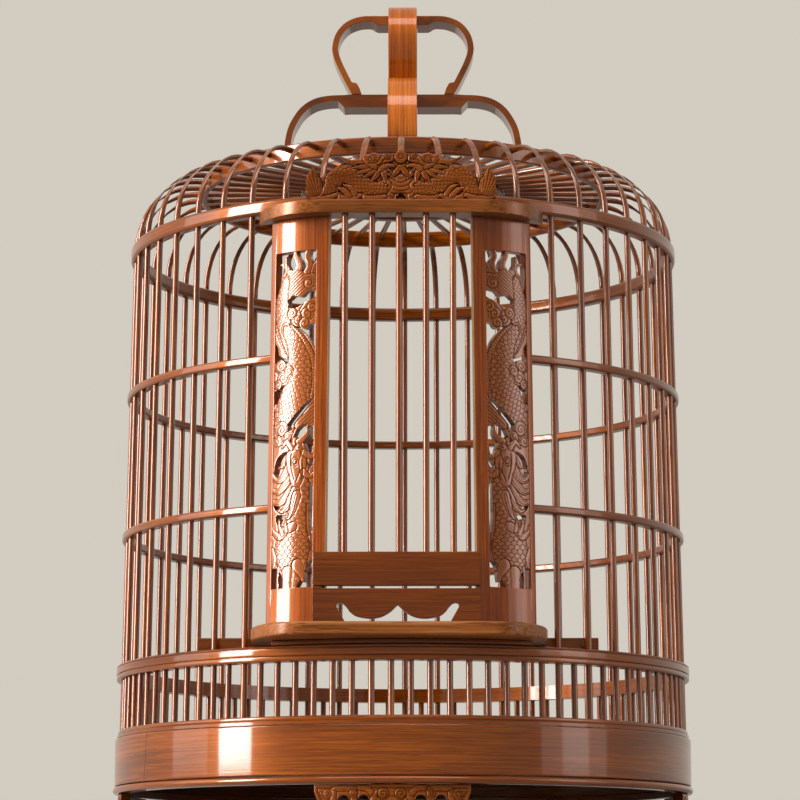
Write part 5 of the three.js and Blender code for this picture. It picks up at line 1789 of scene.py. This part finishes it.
# the outermost grid points lie on the board's edge, and this takes them into the wood
EDGE_SHARE = 0.02
FOOT_SCROLLS = [
    ([(1.2, 8.6), (6, 9), (9, 12), (13, 17.2), (20, 17.4)], [1.3, 1.6, 1.5, 1.4, 1.2]),
    ([(9.6, 7), (10, 11), (8, 15.6)], [1.6, 1.5, 0.7]),
    ([(19.6, 17.4), (20.4, 12), (20.8, 6)], [1.3, 1.7, 1.7]),
    ([(20, 17), (26, 17.6), (31, 16.6), (33.6, 12)], [1.2, 1.4, 1.4, 1.2]),
    ([(9, 4.4), (18, 3.6), (27, 3.6), (34.6, 5)], [1.4, 1.8, 1.8, 1.4]),
    ([(31.4, 15), (32, 10), (34, 5.6)], [1.4, 1.5, 1.2]),
    ([(33, 9), (36.4, 12.4), (38.4, 15)], [1.2, 1.1, 0.5]),
]
FOOT_CURLS = [
    (4.6, 14.6, 2.9, 1.3, 2.6, 1), (35, 14.2, 2.4, 1.1, 0.6, -1), (20.6, 14.6, 2.2, 1.1, 1, 1),
    (12, 5.2, 2.1, 1, 2, -1),
]
FOOT_OPENING = [(-3.2, 6), (-3.6, 9.4), (-2.4, 13), (0, 14.1), (2.6, 12.8), (3.5, 9.4), (3, 6)]
FOOT_OPENINGS_AT = (15.4, 26.2)
FOOT_ARCH = [(-16, -3), (-10.5, 7.2), (0, 9), (10.5, 7.2), (16, -3)]


def draw_foot(width, height, slope, pitch):
    """Scrolls between a raised border above and an arch below, with four sawn openings."""
    foot = Relief(-width / 2, width / 2, 0, height, pitch, symmetric=True)
    narrowing = slope * np.clip(1 - foot.z / (height - FOOT_HEAD), 0, 1)
    edge = np.minimum(width / 2 - foot.across - narrowing, height - foot.z)
    foot.lay(np.minimum(edge, FOOT_ROUNDING) + EDGE_SHARE, 0.0, 0.2)
    foot.lay(BORDER_HALF - np.abs(edge - BORDER_AT), 0.9, 0.5)
    foot.sweep(FOOT_SCROLLS, 0.8, 0.9)
    foot.curls(FOOT_CURLS, 0.9, 0.9)
    foot.pierce([[(at + x, z) for x, z in FOOT_OPENING] for at in FOOT_OPENINGS_AT])
    foot.pierce([FOOT_ARCH])
    return foot


# %% The four feet
FOOT_ANGLES = {"front": -1.6, "right": 89, "back": 174.5, "left": -91}
FOOT_WIDTH = 85 * MM
FOOT_DEPTH = 6 * MM
FOOT_SLOPE = 6.5 * MM
FOOT_PITCH = 0.35
FOOT_RELIEF = 0.26
FOOT_INSET = 1.8 * MM
foot_reach = reach("base_band") - FOOT_INSET


def bend_foot(piece, middle):
    """Bends a piece that was modelled flat, with x along the foot, to the base's circle."""
    x, depth, z = places_of(piece).T
    angle = middle + x / foot_reach
    radius = foot_reach - depth
    move_to(piece, np.stack([radius * np.sin(angle), AXIS.y - radius * np.cos(angle), z], axis=1))
    face_outwards(piece)


drawing = draw_foot(FOOT_WIDTH / MM, levels("foot_front")[1] / MM, FOOT_SLOPE / MM, FOOT_PITCH)
flat_foot = fretwork("foot_flat", drawing, FOOT_RELIEF, FOOT_DEPTH / MM)
for side, degrees in FOOT_ANGLES.items():
    foot = copied(flat_foot, f"foot_{side}_carved")
    bend_foot(foot, math.radians(degrees))
    finish(foot, CARVED_DARK, around, [f"foot_{side}"], smooth=60)
bpy.data.objects.remove(flat_foot)

# %% [markdown]
# A tin tray lies on the ledge, with a floor of rods above it. The tray's wall with its rolled lip is
# spun like a ring, and its plate is a thin disc. The floor is a ring with bamboo rods laid across it,
# each as long as the ring is wide there.

# %% The tray
TRAY_TIN = 0.7 * MM
LIP = 0.9 * MM
LIP_STEP = 30
_, tray_outer, tray_foot, tray_top = ring_sizes("droppings_tray")
wall_middle = tray_outer - LIP
tray_section = [(wall_middle - TRAY_TIN / 2, tray_foot), (wall_middle + TRAY_TIN / 2, tray_foot)]
for degrees in range(-90, 181, LIP_STEP):
    turn = math.radians(degrees)
    tray_section.append((wall_middle + LIP * math.cos(turn), tray_top - LIP + LIP * math.sin(turn)))
tray_section.append((wall_middle - TRAY_TIN / 2, tray_top - 2 * LIP))
tray_wall = spun("tray_wall", tray_section, steps=PLAIN_STEPS)
plate_middle = (0, AXIS.y, tray_foot + TRAY_TIN / 2)
tray_plate = cylinder("tray_plate", wall_middle, TRAY_TIN, plate_middle, PLAIN_STEPS)
tray = joined([tray_wall, tray_plate], "tray_of_tin")
finish(tray, TIN, around, ["droppings_tray"])

# %% The floor of rods
RODS = 17
ROD = 1.5 * MM
inner, outer, foot, top = ring_sizes("floor_grate")
rods = [spun("grate_ring", rounded(inner, outer, foot, top, THIN_EDGE), steps=PLAIN_STEPS)]
rod_reach = (inner + outer) / 2
for number in range(1, RODS + 1):
    x = 2 * rod_reach * number / (RODS + 1) - rod_reach
    length = 2 * math.sqrt(rod_reach**2 - x**2)
    rods.append(cylinder(f"rod_{number}", ROD, length, (x, AXIS.y, (foot + top) / 2), 12, lying=True))
grate = joined(rods, "grate_of_rods")
finish(grate, RAW, along_y, ["floor_grate"])

# %% [markdown]
# Lacquer is read from what it reflects, so the lights are large softboxes that give long highlights: a
# bright one on the left with a clean edge, weaker ones on the right and above. They stand some metres
# away, so that the cage is lit evenly from its foot to its handle and the pale floor isn't burnt out.

# %% Softboxes
# lengths in metres. Each side lamp has its bearing round the cage in degrees, its distance, its width
# and its strength
LIGHT_TARGET = Vector((0, AXIS.y, 0.22))
LAMP_HEIGHT = 1.45
LAMP_TALL = 2.6
SIDE_LAMPS = [
    ("softbox_left", -67, 4.0, 1.14, 34), ("softbox_left_edge", -90, 4.0, 1.5, 2.5),
    ("softbox_right", 70, 4.4, 2.6, 1.3), ("softbox_right_core", 70, 4.3, 1.0, 2.2),
]
TOP_PLACE = (-0.1, -1.2, 2.1)
TOP_WIDTH = 1.9
TOP_DEPTH = 0.9
TOP_STRENGTH = 5.5


def area_light(name, place, width, height, strength):
    """A softbox that faces the middle of the cage. Strength is its brightness, and its power follows."""
    bpy.ops.object.light_add(type="AREA", location=place)
    lamp = bpy.context.object
    lamp.name = name
    lamp.rotation_euler = (LIGHT_TARGET - Vector(place)).to_track_quat("-Z", "Y").to_euler()
    lamp.data.shape = "RECTANGLE"
    lamp.data.size = width
    lamp.data.size_y = height
    lamp.data.energy = strength * math.pi * width * height
    print(name, round(lamp.data.energy, 1), "W")


for name, azimuth, distance, width, strength in SIDE_LAMPS:
    place = polar(math.radians(azimuth), distance, LAMP_HEIGHT)
    area_light(name, place, width, LAMP_TALL, strength)
area_light("softbox_top", TOP_PLACE, TOP_WIDTH, TOP_DEPTH, TOP_STRENGTH)

# %% [markdown]
# The cage stands on a pale matt floor in a pale room. The room that the camera and the lacquer see is
# brighter than the light it gives, because the softboxes are the light here. A path's kind tells the
# world which of the two to show.

# %% Floor and world
FLOOR_SIDE = 4
FLOOR_FRONT = -0.4
FLOOR_DROP = 0.0002
bpy.ops.mesh.primitive_plane_add(size=1, location=(0, FLOOR_FRONT + FLOOR_SIDE / 2, -FLOOR_DROP))
floor = bpy.context.object
floor.name = "floor"
floor.scale = (FLOOR_SIDE, FLOOR_SIDE, 1)
bpy.ops.object.transform_apply(location=False, rotation=False, scale=True)
# matt paint: no visible reflections, only soft shadows
floor_material, floor_tree = new_material("pale_studio_floor")
floor_surface = add(
    floor_tree, "ShaderNodeBsdfPrincipled", values={"Base Color": colour("#B9B4AB"), "Roughness": 0.8}
)
add(floor_tree, "ShaderNodeOutputMaterial", {"Surface": floor_surface.outputs["BSDF"]})
floor.data.materials.append(floor_material)

world = bpy.data.worlds.new("pale_studio")
bpy.context.scene.world = world
world.use_nodes = True
world_tree = world.node_tree
world_tree.nodes.clear()
ray = add(world_tree, "ShaderNodeLightPath")
seen = add(
    world_tree, "ShaderNodeMath", {0: ray.outputs["Is Camera Ray"], 1: ray.outputs["Is Glossy Ray"]},
    operation="MAXIMUM",
)
seen_through = add(
    world_tree, "ShaderNodeMath", {0: seen.outputs[0], 1: ray.outputs["Is Transmission Ray"]},
    operation="MAXIMUM",
)
glow = add(world_tree, "ShaderNodeBackground", values={"Color": colour("#E8E2D8"), "Strength": 0.1})
backdrop = add(world_tree, "ShaderNodeBackground", values={"Color": colour("#D2CCC1"), "Strength": 1.0})
blend_world = add(
    world_tree, "ShaderNodeMixShader",
    {0: seen_through.outputs[0], 1: glow.outputs[0], 2: backdrop.outputs[0]},
)
add(world_tree, "ShaderNodeOutputWorld", {"Surface": blend_world.outputs[0]})

# %% [markdown]
# The colours are shown as they are, without a film look.

# %% View
bpy.context.scene.view_settings.view_transform = "Standard"
